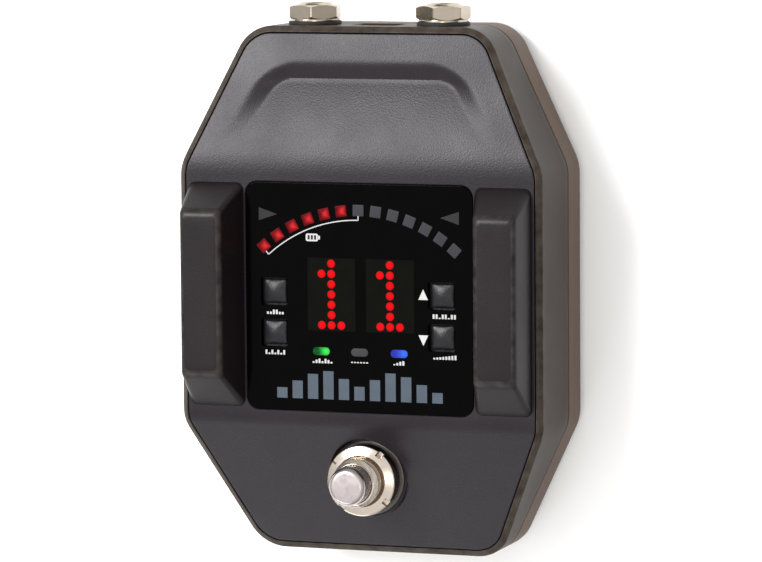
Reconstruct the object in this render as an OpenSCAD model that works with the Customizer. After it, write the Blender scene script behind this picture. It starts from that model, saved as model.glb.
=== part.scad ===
// Floor-pedal guitar wireless unit: a cast housing with an inset top cover, two raised antenna covers,
// a display window with four buttons, a footswitch and two quarter-inch jacks.
// Frame: x to the right, y towards the jack wall, z up, origin on the floor under the middle of the pedal.

/* [Body] */
// Width of the housing
body_w = 94; // [92:0.5:98]
// Length of the housing, front wall to jack wall
body_l = 131.8; // [130:0.2:136]
// How far the jack bushings stand out of the jack wall
jack_reach = 5.4; // [5:0.1:6.5]
// Height of the flat middle of the top above the floor
face_z = 37.2; // [36.8:0.1:38]
// Height of the seam between tray and housing
seam_z = 14.7; // [14.4:0.1:15]
// Height of the rubber feet below the tray
foot_h = 2.2; // [1.5:0.1:2.5]
// Thickness of the housing wall
wall = 3; // [2.8:0.1:3.2]

/* [Top cover] */
// Width of the housing's rim around the cover
rim = 1.8; // [1.6:0.1:2]
// Thickness of the cover
cover_t = 3; // [2.8:0.1:3.2]
// Fall of the rear face, as rise over run
rear_slope = 0.208; // [0.19:0.002:0.22]
// Fall of the front face, as rise over run
front_slope = 0.43; // [0.4:0.01:0.45]
// Depth of the scoop in the rear face
scoop_depth = 1.6; // [1:0.1:1.8]

/* [Antenna covers] */
// Height of the antenna covers above the flat middle
guard_h = 10; // [8:0.5:12]
// Wall of the antenna covers
guard_wall = 2; // [1.6:0.1:2.2]

/* [Display] */
// Width of the display window
window_w = 58.8; // [58:0.1:59.4]
// Length of the display window
window_l = 56.4; // [56:0.1:57]
// Side of a button cap
button_w = 6; // [5.6:0.1:6.2]
// Travel of a button
button_travel = 0.35; // [0.2:0.05:0.4]

/* [Footswitch] */
// Radius of the footswitch cap
cap_r = 4.8; // [4.6:0.05:4.85]
// Height of the cap's top above the floor
cap_top = 47.8; // [47:0.1:49]
// Travel of the footswitch
switch_travel = 2.5; // [1.5:0.1:2.8]

/* [Jacks] */
// Distance of each jack from the middle
jack_x = 16.8; // [16.5:0.1:17.5]
// Height of the jack axis above the floor
jack_z = 20.4; // [20.2:0.1:20.6]
// Radius of the plug hole
jack_bore_r = 3.25; // [3.22:0.01:3.3]

/* [Hidden] */

// Small gap between pieces that don't touch, and the extra length that clears a face in a cut
gap = 0.2;
clear = 1;

// Places along the pedal
body_y = -jack_reach / 2;
front_y = body_y - body_l / 2;
rear_y = body_y + body_l / 2;
window_y = body_y - 0.5;
switch_y = window_y - 45.4;

// Octagonal plan: corners of the right half, front to rear, with the radius of each corner
corners = [
    [31.4, front_y, 9.5], [body_w / 2, body_y - 32.5, 11],
    [body_w / 2, body_y + 31.3, 11], [30.8, rear_y, 9.5],
];
corner_steps = 5;

// Soft creases where the flat middle turns into the rear and front faces
rear_crease = window_y + 33;
front_crease = window_y - 30.5;
rear_blend = 6;
front_blend = 4;
crease_y = [
    for (s = [-1, -0.5, 0, 0.5, 1]) front_crease + s * front_blend / 2,
    for (s = [-1, -0.5, 0, 0.5, 1]) rear_crease + s * rear_blend / 2,
];

// Rim bevel, ledge and gaskets
bevel_w = 1.3;
bevel_h = 1.1;
cover_gap = 0.25;
cover_gasket_t = 0.4;
ledge_t = 2;
ledge_w = 4.6;
gasket_t = 0.6;
housing_z = seam_z + gasket_t / 2;
tray_top = seam_z - gasket_t / 2;

// Tray
tray_z = foot_h;
tray_floor = tray_z + 2;
tray_wall = wall;
tray_round = 3;

// Base screws: place of each, and the boss that takes it
base_screw_at = [
    for (s = [-1, 1]) each [
        [s * 28.8, body_y + 55.5], [s * 28.8, body_y - 56.5], [s * 40.6, body_y - 0.5],
    ],
];
boss_r = 3.6;
base_screw_r = 1.5;
base_head_r = 2.8;
base_head_h = 2;
base_head_z = tray_z + 0.4;
base_boss_top = 24;

// Cover screws and their tabs under the cover
cover_screw_at = [for (x = [-39, 39], y = [-25, 22]) [x, window_y + y]];
cover_screw_r = 1.25;
cover_under = face_z - cover_t;
cover_tab_z = cover_under - cover_gasket_t - ledge_t;

// Antenna covers: base and plateau, given from the window's middle
guard_base = [[30, -27.9], [44.5, 28]];
guard_top = [[32.7, -18.9], [43.3, 21.4]];
guard_screw_at = [for (s = [-1, 1], y = [-14, 15]) [s * 38, window_y + y]];
guard_screw_r = 1.25;
guard_post_r = 2.6;
antenna_x = 36.8;
antenna_z = face_z + 4;

// Display window and what lies under it
window_t = 1.5;
window_z = face_z - 0.1 - window_t;
window_r = 3;
window_lip = 1.4;
board_t = 1.2;
board_top = 28;
shroud_top = window_z - gap;
shroud_z = board_top + gap;
dot_pitch = 2.54;
digit_x = 3 * dot_pitch;
digit_w = 5 * dot_pitch;
digit_l = 7 * dot_pitch;
digit_h = 6.4;
digit_y = window_y + 0.74;

// Meter: square lights on an arc
meter_count = 13;
meter_lit = 6;
meter_r = 37.65;
meter_step = 6.85;
meter_y = window_y - 16;
meter_w = 2.8;

// Status lights
status_x = [-9.9, 0.1, 10.4];
status_y = window_y - 13.4;
status_w = 4.4;
status_l = 2;

// Buttons: middle of each cap
button_left_x = -22.2;
button_right_x = 21.4;
button_rear_y = window_y + 1.1;
button_front_y = window_y - 9.15;
button_top = face_z - 0.4;
button_flange = 8;
button_stem_r = 1.6;
tact_h = 3.5;

// Footswitch: the pad it stands on, and the heights of its pieces
pad_z = face_z - 6.5;
pad_r = 10;
pad_wall = 2.4;
pad_under = 24;
bushing_r = 6;
bushing_top = 42.4;
switch_top = pad_under - 0.5;
switch_w = 17;
switch_h = 11;
plunger_z = 30;
stem_r = 2.2;
stem_z = 18;
nut_r = 8.8;
nut_h = 6.3;
nut_ridge_r = 6.45;
nut_brow = 0.7;
washer_t = 0.4;

// Jacks
jack_wall_in = rear_y - wall;
jack_body_w = 16;
jack_body_h = 13;
jack_body_l = 29;
jack_thread_r = 4.76;
jack_end = rear_y + jack_reach;
jack_seal_t = 0.8;
jack_seal_r = 6.6;
jack_washer_t = 0.65;
jack_washer_r = 6.2;
jack_nut_h = 3.4;
jack_nut_r = 6.9;
jack_nut_y = rear_y + jack_seal_t + jack_washer_t;
// Turn of the left and right nut, as each one stopped when it was tightened
jack_nut_turn = [-19, -33];
contact_y = [38, 49];

// Power socket
power_face = jack_wall_in - 1.5;
power_l = 13;
power_w = 10.6;
power_h = 10;
power_z = 20.4;

// Main board
main_z = jack_z - jack_body_h / 2 - 1.6;
main_t = 1.6;
main_top = main_z + main_t;
standoff_at = [for (s = [-1, 1], y = [-24, 22]) [s * 30, y]];

// --- Plan, faces and solids that several pieces share ---

function unit(v) = v / norm(v);
function left_of(v) = [-v.y, v.x];

// Round corner b between a and c: [point, inward normal] pairs along the arc, for a counterclockwise plan
function round_corner(a, b, c, r) =
    let (u = unit(b - a), v = unit(c - b), turn = acos(u * v))
    let (start = b - u * r * tan(turn / 2), middle = start + r * left_of(u))
    let (first = atan2(-left_of(u).y, -left_of(u).x))
    [for (i = [0 : corner_steps])
        let (way = [cos(first + turn * i / corner_steps), sin(first + turn * i / corner_steps)])
        [middle + r * way, -way]];

function flat(c) = [c.x, c.y];
function mirrored(p) = [-p.x, p.y];

// Right half of the plan, front to rear, before the crease points are put in
right_arcs = [
    for (i = [0 : 3])
        let (before = i == 0 ? mirrored(flat(corners[0])) : flat(corners[i - 1]))
        let (after = i == 3 ? mirrored(flat(corners[3])) : flat(corners[i + 1]))
        each round_corner(before, flat(corners[i]), after, corners[i].z),
];

// Adds a pair wherever the plan crosses the height of a crease line
right_half = [
    for (i = [0 : len(right_arcs) - 1])
        let (p = right_arcs[i], q = right_arcs[min(i + 1, len(right_arcs) - 1)])
        each concat([p], [
            for (y = crease_y)
                if (y > p[0].y + 0.01 && y < q[0].y - 0.01)
                    let (t = (y - p[0].y) / (q[0].y - p[0].y))
                    [p[0] + t * (q[0] - p[0]), unit(p[1] + t * (q[1] - p[1]))],
        ]),
];
half_count = len(right_half);

// The plan moved inwards by d
function plan(d) =
    let (half = [for (e = right_half) e[0] + d * e[1]])
    concat(half, [for (i = [half_count - 1 : -1 : 0]) mirrored(half[i])]);

function soft_ramp(s, w) = s <= -w / 2 ? 0 : s >= w / 2 ? s : pow(s + w / 2, 2) / (2 * w);
function top_z(y) = face_z - rear_slope * soft_ramp(y - rear_crease, rear_blend)
    - front_slope * soft_ramp(front_crease - y, front_blend);

// Rings of points for stack(): level, or below the top face as it is at the bevel's inner edge
function level_ring(d, z) = [for (p = plan(d)) [p.x, p.y, z]];
function face_ring(d, drop) = let (ring = plan(d), brow = plan(bevel_w))
    [for (i = [0 : len(ring) - 1]) [ring[i].x, ring[i].y, top_z(brow[i].y) - drop]];

// Closed solid through a pile of rings that all have the plan's count of points
module stack(rings) {
    n = 2 * half_count;
    last = (len(rings) - 1) * n;
    sides = [
        for (k = [0 : len(rings) - 2], i = [0 : n - 1])
            let (a = k * n + i, b = k * n + (i + 1) % n)
            each [[a, a + n, b + n], [a, b + n, b]],
    ];
    caps = [
        for (i = [0 : half_count - 2])
            let (r = i, r2 = i + 1, l = n - 1 - i, l2 = n - 2 - i)
            each [
                [r, r2, l2], [r, l2, l],
                [last + r, last + l2, last + r2], [last + r, last + l, last + l2],
            ],
    ];
    polyhedron([for (ring = rings) each ring], concat(sides, caps));
}

// Upright prism of the plan moved inwards by d
module prism(d, z0, z1) {
    translate([0, 0, z0]) linear_extrude(z1 - z0) polygon(plan(d));
}

// Everything lower than the top face moved down by drop
module under_face(drop) {
    ys = concat([front_y - 5], crease_y, [rear_y + 5]);
    line = [for (y = ys) [y, top_z(y) - drop]];
    translate([-body_w, 0, 0]) rotate([90, 0, 90]) linear_extrude(2 * body_w)
        polygon(concat(line, [[rear_y + 5, -5], [front_y - 5, -5]]));
}

// Solid with a four-cornered bottom and top, both counterclockwise seen from above
module block(bottom, top) {
    polyhedron(concat(bottom, top), [
        [0, 1, 2], [0, 2, 3], [4, 6, 5], [4, 7, 6],
        for (i = [0 : 3]) let (j = (i + 1) % 4) each [[i, i + 4, j + 4], [i, j + 4, j]],
    ]);
}

// Flat plate with round corners, middle at x, y
module plate(x, y, z, w, l, h, r) {
    translate([x, y, z]) linear_extrude(h) {
        square([w - 2 * r, l], center = true);
        square([w, l - 2 * r], center = true);
        for (sx = [-1, 1], sy = [-1, 1])
            translate([sx * (w / 2 - r), sy * (l / 2 - r)]) circle(r, $fn = 32);
    }
}

module box(x, y, z, w, l, h) {
    translate([x - w / 2, y - l / 2, z]) cube([w, l, h]);
}

module rod(x, y, z, r, h) {
    translate([x, y, z]) cylinder(h, r, r, $fn = 48);
}

// Pan-head screw: head_at is the head's outer face; the shank points up, or down when down is true
module screw(at, head_at, head_r, head_h, shank_r, length, down = false) {
    translate([at.x, at.y, head_at]) mirror([0, 0, down ? 1 : 0]) difference() {
        union() {
            cylinder(head_h, head_r - 0.3, head_r, $fn = 48);
            translate([0, 0, head_h]) cylinder(length, shank_r, shank_r, $fn = 48);
        }
        for (turn = [0, 90]) rotate([0, 0, turn])
            translate([-head_r * 0.55, -0.4, -clear]) cube([head_r * 1.1, 0.8, clear + head_h * 0.55]);
    }
}

// Tube along a list of points, each ring standing across its stretch
module tube(path, r, sides) {
    n = len(path);
    function along(i) = unit(path[min(i + 1, n - 1)] - path[max(i - 1, 0)]);
    function across(t) = unit(cross(t, abs(t.x) < 0.9 ? [1, 0, 0] : [0, 1, 0]));
    points = [
        for (i = [0 : n - 1])
            let (t = along(i), a = across(t), b = cross(t, a))
            for (k = [0 : sides - 1])
                path[i] + r * (cos(360 * k / sides) * a + sin(360 * k / sides) * b),
    ];
    walls = [
        for (i = [0 : n - 2], k = [0 : sides - 1])
            let (a = i * sides + k, b = i * sides + (k + 1) % sides)
            each [[a, a + sides, b + sides], [a, b + sides, b]],
    ];
    polyhedron(points, concat(walls, [
        [for (k = [0 : sides - 1]) k],
        [for (k = [sides - 1 : -1 : 0]) (n - 1) * sides + k],
    ]));
}

// Flat strip of thickness t and width w, bent along points [y, z], standing across x
module strip(x, path, t, w) {
    n = len(path);
    function along(i) = unit(path[min(i + 1, n - 1)] - path[max(i - 1, 0)]);
    upper = [for (i = [0 : n - 1]) path[i] + left_of(along(i)) * t / 2];
    lower = [for (i = [n - 1 : -1 : 0]) path[i] - left_of(along(i)) * t / 2];
    translate([x - w / 2, 0, 0]) rotate([90, 0, 90]) linear_extrude(w) polygon(concat(upper, lower));
}

// --- Housing and top cover ---

module housing() {
    under_cover = cover_t + cover_gasket_t;
    color([0.24, 0.22, 0.2]) difference() {
        stack([
            level_ring(0, housing_z),
            face_ring(0, bevel_h),
            face_ring(bevel_w, 0),
        ]);
        difference() {
            prism(rim - cover_gap, housing_z, face_z + clear);
            under_face(under_cover);
        }
        difference() {
            prism(ledge_w, housing_z - clear, face_z + clear);
            for (at = cover_screw_at) rod(at.x, at.y, cover_tab_z, 4.2, ledge_t);
        }
        difference() {
            intersection() {
                prism(wall, housing_z - clear, face_z);
                under_face(under_cover + ledge_t);
            }
            for (at = base_screw_at) rod(at.x, at.y, housing_z - clear, boss_r, base_boss_top);
        }
        box(0, jack_wall_in - 5, housing_z, 52, 10, 14);
        for (at = base_screw_at) rod(at.x, at.y, housing_z - clear, base_screw_r + 0.05, 9 + clear);
        for (at = cover_screw_at) rod(at.x, at.y, cover_tab_z - clear, cover_screw_r + 0.15, 9);
        for (s = [-1, 1]) translate([s * jack_x, jack_wall_in - clear, jack_z]) rotate([-90, 0, 0])
            cylinder(wall + 2 * clear, jack_thread_r + 0.1, jack_thread_r + 0.1, $fn = 64);
        translate([0, rear_y + clear, power_z]) rotate([90, 0, 0])
            plate(0, 0, 0, 11.4, 9, wall + 2 * clear, 1.5);
    }
}

module scoop_cut() {
    // Half-widths and places of the floor and of the mouth, rear edge and front edge
    floor_rear = [22, window_y + 53.4];
    floor_front = [36, window_y + 31];
    mouth_rear = [26, window_y + 57.4];
    mouth_front = [38, window_y + 31];
    // The mouth's points stand on the wall planes, a little above the face
    function at(p, z, side) = [side * p.x, p.y, z];
    rear_floor_z = top_z(floor_rear.y) - scoop_depth;
    front_floor_z = top_z(floor_front.y) + 0.12;
    rear_mouth_z = top_z(mouth_rear.y);
    front_mouth_z = top_z(mouth_front.y) + 1.4;
    block(
        [at(floor_front, front_floor_z, -1), at(floor_front, front_floor_z, 1),
            at(floor_rear, rear_floor_z, 1), at(floor_rear, rear_floor_z, -1)],
        [at(mouth_front, front_mouth_z, -1), at(mouth_front, front_mouth_z, 1),
            at(mouth_rear, rear_mouth_z, 1), at(mouth_rear, rear_mouth_z, -1)]
    );
}

module top_cover() {
    color([0.38, 0.37, 0.39]) difference() {
        union() {
            difference() {
                intersection() {
                    prism(rim, 10, face_z + clear);
                    under_face(0);
                }
                under_face(cover_t);
            }
            intersection() {
                rod(0, switch_y, pad_under, pad_r + pad_wall, 16);
                under_face(0);
                prism(rim, 10, face_z);
            }
            rod(0, switch_y, pad_under, pad_r, pad_z - pad_under);
            for (x = [-22, 22], y = [-29.6, 29.6])
                rod(x, window_y + y, board_top, 2.2, cover_under - board_top + 0.5);
        }
        rod(0, switch_y, pad_z, pad_r, 20);
        rod(0, switch_y, pad_under - clear, bushing_r + 0.1, 20);
        rod(0, switch_y, pad_under - 11, switch_w / 2 + 3.5, 11);
        scoop_cut();
        box(0, window_y, cover_under - clear, window_w - 2 * window_lip, window_l - 2 * window_lip, 9);
        plate(0, window_y, window_z, window_w + 0.4, window_l + 0.4, 9, window_r + 0.2);
        for (x = [-22, 22], y = [-29.6, 29.6])
            rod(x, window_y + y, board_top - clear, 1.05, 5 + clear);
        for (at = cover_screw_at) rod(at.x, at.y, cover_under - clear, cover_screw_r + 0.05, 2.2 + clear);
        for (at = guard_screw_at) rod(at.x, at.y, cover_under - clear, guard_screw_r + 0.15, 9);
        for (s = [-1, 1]) rod(s * antenna_x, window_y + 7, cover_under - clear, 1, 9);
    }
}

module cover_gasket() {
    color([0.05, 0.05, 0.05]) difference() {
        intersection() {
            prism(rim, 10, face_z);
            under_face(cover_t);
        }
        under_face(cover_t + cover_gasket_t);
        prism(wall, 0, face_z + clear);
    }
}

// --- Antenna covers and antennas ---

// A guard's solid on the side s, made smaller by d all round and lower by drop
module guard_solid(s, d, drop) {
    function ring(r, d, z) = let (lo = r[0] + [d, d], hi = r[1] - [d, d])
        let (x0 = s > 0 ? lo.x : -hi.x, x1 = s > 0 ? hi.x : -lo.x)
        [[x0, window_y + lo.y, z], [x1, window_y + lo.y, z],
            [x1, window_y + hi.y, z], [x0, window_y + hi.y, z]];
    block(ring(guard_base, d, face_z - (d > 0 ? clear : 0)), ring(guard_top, d * 0.8, face_z + guard_h - drop));
}

module antenna_cover(s) {
    color([0.22, 0.2, 0.22]) difference() {
        guard_solid(s, 0, 0);
        difference() {
            guard_solid(s, guard_wall, guard_wall);
            for (at = guard_screw_at) rod(at.x, at.y, face_z, guard_post_r, guard_h);
        }
        for (at = guard_screw_at) rod(at.x, at.y, face_z - clear, guard_screw_r + 0.05, 6.5 + clear);
    }
}

module antenna_cover_left() { antenna_cover(-1); }
module antenna_cover_right() { antenna_cover(1); }

module antenna_board(s) {
    color([0.1, 0.35, 0.2]) difference() {
        union() {
            box(s * (antenna_x - 1.2), window_y + 0.5, antenna_z, 3, 20, 0.8);
            box(s * (antenna_x - 1.2), window_y + 0.5, face_z, 2, 3, antenna_z - face_z);
        }
        rod(s * antenna_x, window_y + 7, antenna_z - clear, 0.6, 3);
    }
}

module antenna_board_left() { antenna_board(-1); }
module antenna_board_right() { antenna_board(1); }

// Coaxial lead from an antenna board down to the radio on the main board
module antenna_cable(s) {
    route = [
        [36.8, 7, 42.6], [36.8, 7, 40], [36.8, 7, 36], [36.8, 7, 33], [36.4, 6.6, 30], [34.6, 5, 26],
        [31.6, 2, 23], [27.6, -2, 21], [23, -5.4, 19.4], [19.4, -7.4, 17.6], [18.2, -8, 15.6], [18.2, -8, 13.95],
    ];
    color([0.1, 0.1, 0.1])
        tube([for (p = route) [s * p.x, window_y + p.y, p.z]], 0.5, 8);
}

module antenna_cable_left() { antenna_cable(-1); }
module antenna_cable_right() { antenna_cable(1); }

// --- Display ---

button_at = [for (x = [button_left_x, button_right_x], y = [button_rear_y, button_front_y]) [x, y]];

module display_window() {
    color([0.02, 0.02, 0.02]) difference() {
        plate(0, window_y, window_z, window_w, window_l, window_t, window_r);
        for (at = button_at) plate(at.x, at.y, window_z - clear, button_w + 0.8, button_w + 0.8, 9, 0.5);
    }
}

// One square light of the meter, made bigger by extra
module meter_light(k, z, h, extra) {
    translate([0, meter_y, z]) rotate([0, 0, -meter_step * (k - (meter_count - 1) / 2)])
        box(0, meter_r, 0, meter_w + extra, meter_w + extra, h);
}

module light_shroud() {
    lights = [for (x = status_x) [x, status_y]];
    color([0.06, 0.06, 0.06]) difference() {
        box(0, window_y, shroud_z, window_w - 2 * window_lip - 0.6, window_l - 2 * window_lip - 0.6,
            shroud_top - shroud_z);
        for (s = [-1, 1]) box(s * digit_x, digit_y, shroud_z - clear, digit_w + 0.2, digit_l + 0.4, 20);
        for (at = button_at) plate(at.x, at.y, shroud_z - clear, button_flange + 0.6, button_flange + 0.6, 20, 0.5);
        for (k = [0 : meter_count - 1]) meter_light(k, shroud_z - clear, 20, 0.3);
        for (at = lights) box(at.x, at.y, shroud_z - clear, status_w + 0.3, status_l + 0.3, 20);
    }
}

module display_board() {
    color([0.08, 0.3, 0.15]) difference() {
        plate(0, window_y, board_top - board_t, 58, 63.6, board_t, 1.5);
        for (x = [-22, 22], y = [-29.6, 29.6]) rod(x, window_y + y, board_top - 2 * clear, 1.3, 5);
    }
}

// Five-by-seven light matrix; its face has a shallow well for each light of the numeral one
module digit(s) {
    numeral = concat([for (j = [0 : 6]) [0, j]], [[-1, 5], [-1, 0], [1, 0]]);
    color([0.1, 0.1, 0.1]) difference() {
        box(s * digit_x, digit_y, board_top, digit_w, digit_l, digit_h);
        for (p = numeral)
            rod(s * digit_x + p.x * dot_pitch, digit_y + (p.y - 3) * dot_pitch, board_top + digit_h - 0.3, 1, 1);
    }
}

module digit_left() { digit(-1); }
module digit_right() { digit(1); }

module meter_lights_lit() {
    color([0.9, 0.05, 0.08]) for (k = [0 : meter_lit - 1])
        meter_light(k, shroud_z, shroud_top - shroud_z, 0);
}

module meter_lights_dark() {
    color([0.2, 0.2, 0.22]) for (k = [meter_lit : meter_count - 1])
        meter_light(k, shroud_z, shroud_top - shroud_z, 0);
}

module status_light(i) {
    plate(status_x[i], status_y, shroud_z, status_w, status_l, shroud_top - shroud_z, 0.9);
}

module status_light_left() { color([0.1, 0.9, 0.2]) status_light(0); }
module status_light_middle() { color([0.4, 0.4, 0.4]) status_light(1); }
module status_light_right() { color([0.1, 0.3, 0.95]) status_light(2); }

// Square cap with a domed top, a flange that keeps it under the window and a stem into its switch
module button_cap(at) {
    dome_r = 8;
    color([0.2, 0.2, 0.21]) {
        intersection() {
            plate(at.x, at.y, window_z - 1, button_w, button_w, 9, 0.6);
            translate([at.x, at.y, button_top - dome_r]) sphere(dome_r, $fn = 96);
        }
        plate(at.x, at.y, window_z - 1.3, button_flange, button_flange, 1, 0.6);
        rod(at.x, at.y, board_top + tact_h - 0.2, button_stem_r, window_z - 1.2 - board_top - tact_h + 0.2);
    }
}

module button_left_rear() { button_cap([button_left_x, button_rear_y]); }
module button_left_front() { button_cap([button_left_x, button_front_y]); }
module button_right_rear() { button_cap([button_right_x, button_rear_y]); }
module button_right_front() { button_cap([button_right_x, button_front_y]); }

module button_switches() {
    color([0.12, 0.12, 0.12]) for (at = button_at) difference() {
        union() {
            box(at.x, at.y, board_top, 6, 6, tact_h);
            rod(at.x, at.y, board_top + tact_h, 2.4, 0.6);
        }
        rod(at.x, at.y, board_top + tact_h - 1, button_stem_r + 0.1, 3);
    }
}

module display_screws() {
    color([0.75, 0.75, 0.76]) for (x = [-22, 22], y = [-29.6, 29.6])
        screw([x, window_y + y], board_top - board_t - 1.3, 2, 1.3, 1, 5);
}

// --- Footswitch ---

module footswitch_cap() {
    color([0.82, 0.8, 0.78]) translate([0, switch_y, 0]) rotate_extrude($fn = 96) polygon([
        [0, stem_z], [stem_r, stem_z], [stem_r, plunger_z], [cap_r, plunger_z],
        [cap_r, cap_top - 0.9], [cap_r - 0.3, cap_top - 0.3], [cap_r - 0.9, cap_top], [0, cap_top],
    ]);
}

module footswitch_bushing() {
    taper = 0.75;
    taper_h = 1.6;
    groove = 0.25;
    groove_w = 0.24;
    groove_z = [for (k = [1 : 3]) bushing_top - 0.5 * k];
    inner_r = cap_r + 0.1;
    function outer_r(z) = bushing_r - taper * max(0, z - bushing_top + taper_h) / taper_h;
    color([0.74, 0.72, 0.7]) translate([0, switch_y, 0]) difference() {
        rotate_extrude($fn = 96) polygon([
            [inner_r, switch_top], [bushing_r, switch_top], [bushing_r, bushing_top - taper_h],
            [bushing_r - taper, bushing_top], [inner_r, bushing_top],
        ]);
        for (z = groove_z) let (r = outer_r(z) - groove) translate([0, 0, z - groove_w / 2]) difference() {
            cylinder(groove_w, bushing_r + clear, bushing_r + clear, $fn = 96);
            translate([0, 0, -clear]) cylinder(groove_w + 2 * clear, r, r, $fn = 96);
        }
    }
}

module footswitch_body() {
    color([0.1, 0.2, 0.45]) difference() {
        plate(0, switch_y, switch_top - switch_h, switch_w, switch_w, switch_h, 1);
        rod(0, switch_y, switch_top - switch_h + 2, stem_r + 0.1, switch_h);
    }
}

module footswitch_lugs() {
    color([0.8, 0.75, 0.6]) for (x = [-4.7, 0, 4.7])
        box(x, switch_y + 4, switch_top - switch_h - 4, 2.4, 0.8, 4);
}

module footswitch_nut() {
    z0 = pad_z + washer_t;
    z1 = z0 + nut_h;
    bore = bushing_r + 0.05;
    color([0.8, 0.78, 0.75]) translate([0, switch_y, 0]) difference() {
        rotate_extrude($fn = 96) polygon([
            [bore, z0], [nut_r, z0], [nut_r, z1 - nut_brow], [nut_ridge_r, z1], [bore, z1],
        ]);
        for (turn = [53 : 90 : 323]) rotate([0, 0, turn])
            translate([7.4, -0.9, z1 - nut_brow - 1.1]) cube([3, 1.8, 3]);
    }
}

module footswitch_washer() {
    color([0.7, 0.7, 0.7]) difference() {
        rod(0, switch_y, pad_z, 9.3, washer_t);
        rod(0, switch_y, pad_z - clear, bushing_r + 0.05, 3);
    }
}

// Coil spring between the switch body and the cap
module footswitch_spring() {
    turns = 4.5;
    steps = 14;
    wire_r = 0.35;
    coil_r = 3.6;
    z0 = switch_top + wire_r + 0.05;
    z1 = plunger_z - wire_r - 0.05;
    color([0.7, 0.7, 0.72]) tube([
        for (i = [0 : turns * steps])
            [coil_r * cos(360 * i / steps), switch_y + coil_r * sin(360 * i / steps),
                z0 + (z1 - z0) * i / (turns * steps)],
    ], wire_r, 6);
}

module footswitch_cable() {
    lug_y = switch_y + 4;
    color([0.5, 0.5, 0.52]) strip(0, [
        [lug_y + 0.8, switch_top - switch_h - 0.4], [lug_y + 0.8, 9.4], [lug_y + 1.4, 8], [lug_y + 3, 7.4],
        [-34, 7.4], [-31, 8.2], [-29, 9.4], [-27.6, 10.8], [-27, main_z - 0.3],
    ], 0.8, 10.4);
}

// --- Jacks and power socket ---

// Lies along y with its mouth on the jack wall
module along_y(x, y, z) { translate([x, y, z]) rotate([-90, 0, 0]) children(); }

module jack_body(s) {
    y0 = jack_wall_in - 0.2 - jack_body_l;
    color([0.08, 0.08, 0.08]) difference() {
        box(s * jack_x, y0 + jack_body_l / 2, jack_z - jack_body_h / 2, jack_body_w, jack_body_l, jack_body_h);
        along_y(s * jack_x, y0 + 2, jack_z) cylinder(jack_body_l, 4.6, 4.6, $fn = 64);
        for (y = contact_y) box(s * jack_x, y, main_top - clear, 1.6, 1.2, 5);
    }
}

module jack_body_left() { jack_body(-1); }
module jack_body_right() { jack_body(1); }

// Threaded sleeve: flange inside the wall, thread through it, plug hole through all
module jack_sleeve(s) {
    flange = 4.5;
    color([0.82, 0.78, 0.7]) along_y(s * jack_x, jack_wall_in, jack_z) difference() {
        union() {
            translate([0, 0, -flange]) cylinder(flange + 0.1, 4.5, 4.5, $fn = 64);
            cylinder(wall + jack_reach - 0.5, jack_thread_r, jack_thread_r, $fn = 64);
            cylinder(wall + jack_reach, jack_thread_r - 0.5, jack_thread_r - 0.5, $fn = 64);
        }
        translate([0, 0, -flange - clear])
            cylinder(flange + wall + jack_reach + 2 * clear, jack_bore_r, jack_bore_r, $fn = 64);
    }
}

module jack_sleeve_left() { jack_sleeve(-1); }
module jack_sleeve_right() { jack_sleeve(1); }

// Flat ring on both sleeves, its inner face a depth out from the jack wall
module jack_ring(depth, t, r) {
    for (s = [-1, 1]) along_y(s * jack_x, rear_y + depth, jack_z) difference() {
        cylinder(t, r, r, $fn = 64);
        translate([0, 0, -clear]) cylinder(t + 2 * clear, jack_thread_r + 0.05, jack_thread_r + 0.05, $fn = 64);
    }
}

module jack_seals() {
    color([0.06, 0.06, 0.06]) jack_ring(0, jack_seal_t, jack_seal_r);
}

module jack_washers() {
    color([0.75, 0.72, 0.66]) jack_ring(jack_seal_t, jack_washer_t, jack_washer_r);
}

module jack_nuts() {
    chamfer = 0.8;
    color([0.85, 0.78, 0.66]) for (i = [0, 1])
        along_y((2 * i - 1) * jack_x, jack_nut_y, jack_z) rotate(jack_nut_turn[i]) difference() {
            intersection() {
                cylinder(jack_nut_h, jack_nut_r, jack_nut_r, $fn = 6);
                rotate_extrude($fn = 96) polygon([
                    [0, 0], [jack_nut_r - chamfer, 0], [jack_nut_r, 0.5], [jack_nut_r, jack_nut_h - 0.5],
                    [jack_nut_r - chamfer, jack_nut_h], [0, jack_nut_h],
                ]);
            }
            translate([0, 0, -clear])
                cylinder(jack_nut_h + 2 * clear, jack_thread_r + 0.05, jack_thread_r + 0.05, $fn = 64);
        }
}

// Leaf springs beside each plug hole, with their pins through the body to the main board
module jack_contacts() {
    color([0.85, 0.75, 0.5]) for (s = [-1, 1], y = contact_y)
        translate([s * jack_x, y, 0]) {
            box(0, 0, jack_z - 4.1, 3, 9, 0.5);
            box(0, 0, main_top, 1.2, 0.8, jack_z - 4 - main_top);
        }
}

module power_socket() {
    color([0.08, 0.08, 0.08]) difference() {
        box(0, power_face - power_l / 2, main_top, power_w, power_l, power_z + power_h / 2 - main_top);
        along_y(0, power_face - 9.5, power_z) cylinder(12, 2.9, 2.9, $fn = 48);
    }
}

module power_socket_pin() {
    color([0.8, 0.8, 0.82]) along_y(0, power_face - 9.5, power_z) cylinder(8.8, 1.02, 1.02, $fn = 48);
}

// --- Main board ---

module main_board() {
    right = [[36, -30], [36, 30], [24.6, 46], [24.6, 56]];
    outline = concat(right, [for (i = [3 : -1 : 0]) mirrored(right[i])]);
    color([0.06, 0.28, 0.16]) difference() {
        translate([0, 0, main_z]) linear_extrude(main_t) polygon(outline);
        for (at = standoff_at) rod(at.x, at.y, main_z - clear, 1.6, 5);
        for (s = [-1, 1], y = contact_y) box(s * jack_x, y, main_top - 1, 1.6, 1.2, 3);
    }
}

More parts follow.
